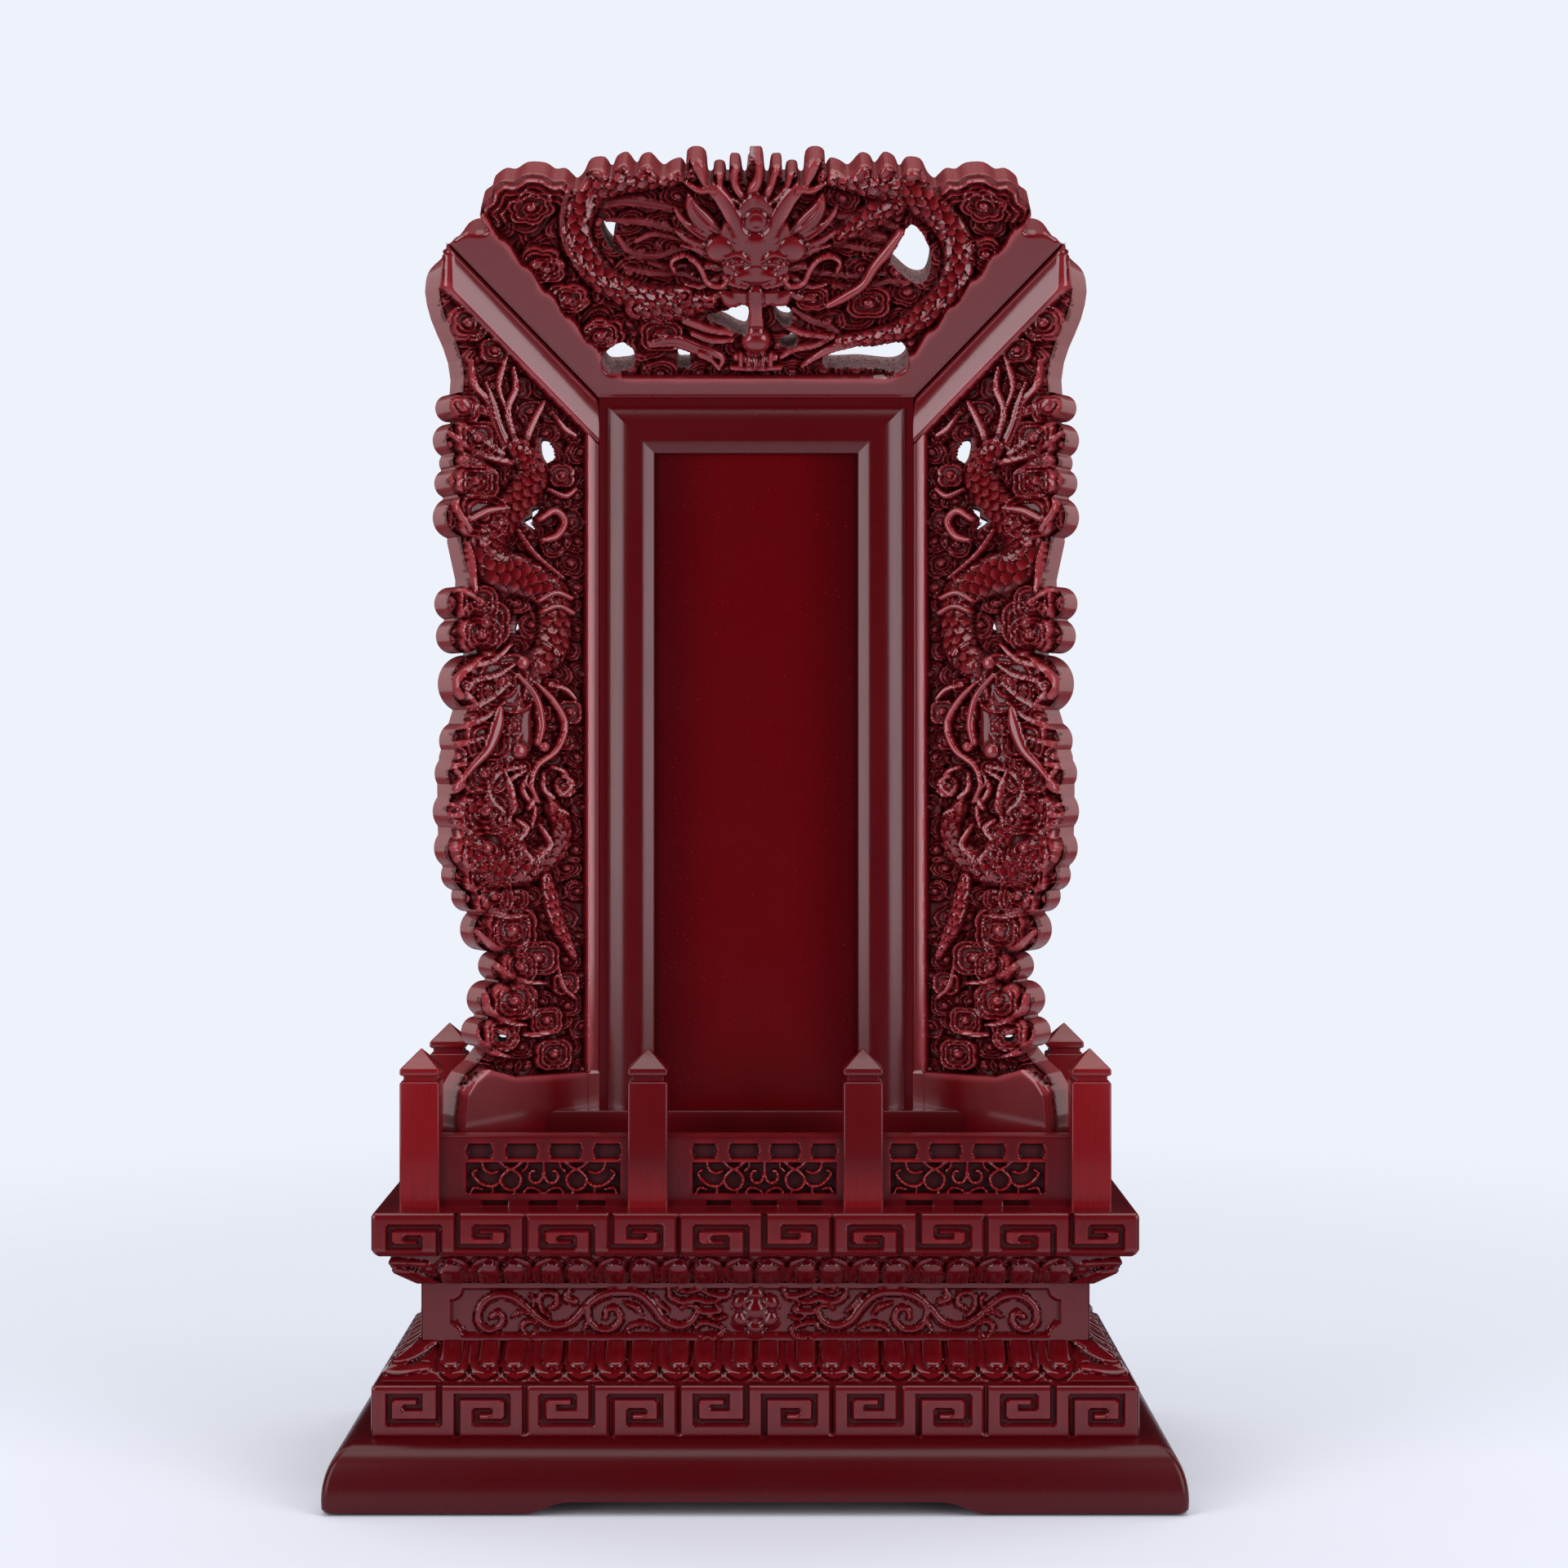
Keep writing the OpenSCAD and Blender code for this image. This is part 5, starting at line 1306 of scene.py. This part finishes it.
cutWith(deckBlock, mortise(levels["upperFret"], deck))
cutWith(lotusDeck, mortise(levels["upperLotus"], levels["upperFret"]))

post = dict(half=5.6, round=0.55, shaft=35.3, neck=1.8, neckCut=1.0, cap=2.1, peak=5.3, foot=12.0,
            farX=94.7, gateX=30.4, farY=36.5)


def postPiece(x, y):
    half = post["half"]
    neck = half - post["neckCut"]
    neckZ = deck + post["shaft"]
    capZ = neckZ + post["neck"]
    peakZ = capZ + post["cap"]
    tipZ = peakZ + post["peak"]
    rows = [(half, deck), (half, deck + 4), (half, deck + post["foot"]), (half, neckZ - 0.5),
            (half - 0.35, neckZ), (neck, neckZ + 0.25), (neck, capZ - 0.25), (half - 0.3, capZ),
            (half, capZ + 0.4), (half, peakZ - 0.5), (half - 0.35, peakZ), (0.45, tipZ - 0.5),
            (0.12, tipZ - 0.2)]  # half width and height
    sections = []
    for wide, z in rows:
        ring = roundRect(wide, wide, min(post["round"], wide * 0.5))
        sections.append(np.column_stack([ring[:, 0] + x, ring[:, 1] + y, np.full(len(ring), z)]))
    obj = closeSkin(skin(sections))
    # corner posts get a lighter tone than the gate posts
    varied = 0.3 if abs(x) == post["gateX"] else 0.75
    foot = np.clip(1 - (getPoints(obj)[:, 2] / mm - deck) / post["foot"], 0, 1)  # lighter towards the foot
    setValue(obj, "shadeAndTone", varied + (1 - varied) * foot)
    return obj


postPlaces = dict(post_front_left=(-post["farX"], -post["farY"]),
                  post_gate_left=(-post["gateX"], -post["farY"]),
                  post_gate_right=(post["gateX"], -post["farY"]),
                  post_front_right=(post["farX"], -post["farY"]),
                  post_rear_left=(-post["farX"], post["farY"]),
                  post_rear_right=(post["farX"], post["farY"]))
for name, (x, y) in postPlaces.items():
    finishPiece(postPiece(x, y), name + "_smooth", "base", redLacquer, name, 40)
print("posts made")


frameSpec = dict(half=43.5, top=310.0, low=104.6, face=coreFront)
# the moulding's section: distance from its outer edge, and height over the core
frameProfile = [(0.0, 0.0), (0.0, 0.4), (0.12, 0.65), (0.4, 0.9), (1.2, 1.34), (2.0, 1.75), (2.8, 2.12),
                (3.6, 2.43), (4.4, 2.69), (5.2, 2.88), (6.2, 3.0), (7.4, 3.05), (8.5, 3.04), (9.4, 2.99),
                (10.0, 2.9), (10.6, 2.7), (11.4, 2.36), (12.2, 2.0), (13.0, 1.65), (13.5, 1.4), (13.7, 1.2),
                (13.8, 0.9), (13.8, 0.0)]


def mouldedPiece(ends):
    sections = []
    for hand, mitred in ends:
        sections.append([(hand * (frameSpec["half"] - d), frameSpec["face"] - h,
                          frameSpec["top"] - d if mitred else frameSpec["low"]) for d, h in frameProfile])
    return closeSkin(skin(sections))


mouldings = dict(frame_left_stile=((-1, False), (-1, True)), frame_right_stile=((1, False), (1, True)),
                 frame_top_rail=((-1, True), (1, True)))  # each end's side, and whether it is mitred
for name, ends in mouldings.items():
    finishPiece(mouldedPiece(ends), name + "_moulded", "tablet", redLacquer, name, 32)


footSpec = dict(front=-16.6, back=coreFront, half=60.9, inner=46.2, low=deck, top=frameSpec["low"],
                round=3.0, edge=0.9)


def footPiece():
    rows = [(0.0, 0.0, footSpec["low"])]
    for i in range(7):
        a = math.radians(15 * i)
        rows.append((footSpec["round"] * (1 - math.cos(a)), footSpec["edge"] * (1 - math.cos(a)),
                     footSpec["top"] - footSpec["round"] * (1 - math.sin(a))))
    sections = []
    for inset, ahead, z in rows:
        half = footSpec["half"] - inset
        inner = footSpec["inner"] - 0.2 * inset
        front = footSpec["front"] + ahead
        sections.append([(-half, front, z), (half, front, z), (inner, footSpec["back"], z),
                         (-inner, footSpec["back"], z)])
    return closeSkin(skin(sections))


finishPiece(footPiece(), "foot_rail_rounded", "tablet", redLacquer, "foot_rail", 40)
print("frame moulded")

railSpec = dict(high=20.0, thick=7.0, depth=2.0, step=0.3)
frontLength = post["farX"] - post["gateX"] - 2 * post["half"]
frontMiddle = (post["farX"] + post["gateX"]) / 2
railSight = Sight((-frontMiddle, -post["farY"] - railSpec["thick"] / 2, deck), (1, 0, 0), (0, 0, 1))
railView = dict(x=540, y=1380, scale=6.03, middle=757)
railCells = [(190, 125, 375, 240), (480, 125, 710, 240), (805, 125, 1035, 240), (1130, 125, 1325, 240)]
railWindow = (185, 265, 1325, 495)
railSlots = [(295, 545, 495, 585), (645, 545, 860, 585), (1010, 545, 1215, 585)]
railStrands = [[(757, 262, 9), (757, 330, 9)],
               [(757, 325, 8), (738, 398, 9), (690, 418, 9), (652, 385, 9), (662, 335, 8), (690, 330, 7)],
               [(430, 262, 9), (480, 300, 9), (545, 330, 9), (588, 380, 9), (570, 445, 9), (515, 470, 9),
                (458, 445, 9), (440, 385, 9), (485, 332, 9), (550, 300, 9), (600, 262, 9)],
               [(442, 400, 8), (390, 440, 9), (320, 435, 9), (262, 395, 9), (232, 345, 8), (265, 320, 7)],
               [(380, 500, 8), (380, 445, 8)],
               [(545, 500, 8), (540, 465, 8)],
               [(300, 262, 8), (320, 320, 8), (370, 345, 8), (425, 330, 7)],
               [(640, 262, 7), (630, 300, 7), (600, 330, 7)],
               [(600, 500, 7), (640, 455, 8), (700, 460, 7), (757, 500, 7)],
               [(215, 500, 7), (240, 455, 8), (300, 460, 7)]]


def railFace(length, mirrored):
    c = Carving((-length / 2, 0), (length / 2, railSpec["high"]), railSpec["step"], 0.0)
    stretch = length / frontLength * (-1 if mirrored else 1)

    def sink(cell, waisted):
        (u0, v1), (u1, v0) = railSight.path(railView, (cell[:2], cell[2:]))
        low, high = sorted((u0 * stretch, u1 * stretch))
        wave = waisted * np.cos(2 * math.pi * (c.v - v0) / (v1 - v0))
        room = np.minimum(np.minimum(c.u - low - wave, high - wave - c.u), np.minimum(c.v - v0, v1 - c.v))
        c.h = np.minimum(c.h, -railSpec["depth"] * np.clip(room / 0.45, 0, 1))

    sink(railWindow, 0.0)
    for rows in railStrands:
        for flip in (False, True):
            path = railSight.path(railView, rows, flip)
            c.strand([(u * stretch, v, w * 1.35) for u, v, w in path], -0.05, 0.7, moat=0.0)
    for cell in railCells:
        sink(cell, 0.25)
    for cell in railSlots:
        sink(cell, 0.0)
    c.h = np.minimum(c.h, 0.0) - pillow(np.minimum(railSpec["high"] - c.v, 5), 0.7)
    c.sunkFrom = -0.9
    return c


centreLength = 2 * (post["gateX"] - post["half"])
sideLength = 2 * (post["farY"] - post["half"])
railPlaces = dict(rail_front_left=(frontLength, False, -frontMiddle, -post["farY"], 0),
                  rail_front_right=(frontLength, True, frontMiddle, -post["farY"], 0),
                  rail_front_centre=(centreLength, False, 0.0, -post["farY"], 0),
                  rail_side_left=(sideLength, False, -post["farX"], 0.0, -90),
                  rail_side_right=(sideLength, False, post["farX"], 0.0, 90))
for name, (length, mirrored, x, y, turn) in railPlaces.items():
    c = math.cos(math.radians(turn))
    s = math.sin(math.radians(turn))

    def onRail(points):
        u, v, n = points.T
        out = -railSpec["thick"] / 2 - n
        return np.stack([x + u * c - out * s, y + u * s + out * c, deck + v], -1)

    piece = carvedBoard(railFace(length, mirrored), onRail, railSpec["thick"], (1.0,))
    finishPiece(piece, name + "_carved", "base", redLacquer, name)
print("rails carved")


def stageFloor():
    clear()
    bpy.ops.mesh.primitive_circle_add(vertices=96, radius=3.0, fill_type="NGON", location=(0, 0, -0.0004))
    floor = bpy.context.object
    floor.name = "floor"
    material, net, sockets = newMaterial("floorPaper")
    place = net.out(net.add("ShaderNodeTexCoord"), "Object")
    far = net.out(net.add("ShaderNodeVectorMath", dict(operation="LENGTH"), {0: place}), "Value")
    sockets["Base Color"].default_value = colour(226, 232, 240)
    sockets["Roughness"].default_value = 0.9
    sockets["Specular IOR Level"].default_value = 0.1
    net.put(sockets["Alpha"], 1.0 - net.smooth(far, 0.2, 0.75))  # the floor fades into the backdrop
    floor.data.materials.append(material)


def areaLight(name, place, aim, size, power, tint=(1.0, 1.0, 1.0)):
    clear()
    bpy.ops.object.light_add(type="AREA", location=place)
    light = bpy.context.object
    light.name = name
    light.data.shape = "RECTANGLE"
    light.data.size = size[0]
    light.data.size_y = size[1]
    light.data.energy = power
    light.data.color = tint
    toward = np.array(aim, float) - np.array(place, float)
    level = math.hypot(toward[0], toward[1])
    light.rotation_euler = (math.atan2(level, -toward[2]), 0, math.atan2(toward[0], -toward[1]) + math.pi)


def stageLights():
    pink = (1.0, 0.9, 0.96)
    for side, hand in (("Left", -1), ("Right", 1)):
        areaLight("soft" + side, (hand * 0.84, -0.71, 0.52), (0, 0, 0.3), (0.62, 1.0), 7.2, pink)
        areaLight("rim" + side, (hand * 0.85, 0.55, 0.5), (0, 0, 0.25), (0.5, 1.0), 1.9)
    areaLight("softTop", (0, 0.2, 1.3), (0, 0, 0.2), (1.4, 0.8), 6.5)
    areaLight("softFront", (0, -0.42, 1.5), (0, -0.1, 0.1), (1.6, 0.5), 6.5)
    world = bpy.data.worlds.new("studio")
    bpy.context.scene.world = world
    world.use_nodes = True
    net = Net(world.node_tree)
    shader = world.node_tree.nodes["Background"]
    path = net.add("ShaderNodeLightPath")
    seen = net.math("MAXIMUM", net.out(path, "Is Camera Ray"), net.out(path, "Is Transmission Ray"))
    shine = net.out(path, "Is Glossy Ray")
    tone = net.mix(seen, colour(128, 128, 134), colour(238, 242, 251))
    tone = net.mix(shine, tone, colour(30, 28, 31))
    net.put(shader.inputs["Color"], tone)
    shader.inputs["Strength"].default_value = 1.0


def stageCamera():
    clear()
    place = (eye["x"] * mm, eye["y"] * mm, eye["z"] * mm)
    bpy.ops.object.camera_add(location=place, rotation=(math.pi / 2, 0, 0))
    camera = bpy.context.object
    camera.name = "studioCamera"
    camera.data.sensor_width = 36.0
    camera.data.lens = 67.5
    camera.data.shift_x = 0.0078
    camera.data.shift_y = -0.0339
    camera.data.clip_start = 0.01
    bpy.context.scene.camera = camera
    bpy.context.scene.view_settings.view_transform = "Standard"


def dressFrame():
    slots = dict(face_panel=panelLacquer, plinth_screws=steel, name_board=bareWood)
    for name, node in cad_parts.items():
        material = slots.get(name, bareWood if "dowels" in name else redLacquer)
        node.data.materials.clear()
        node.data.materials.append(material)


dressFrame()
stageFloor()
stageLights()
stageCamera()
print("stage set")
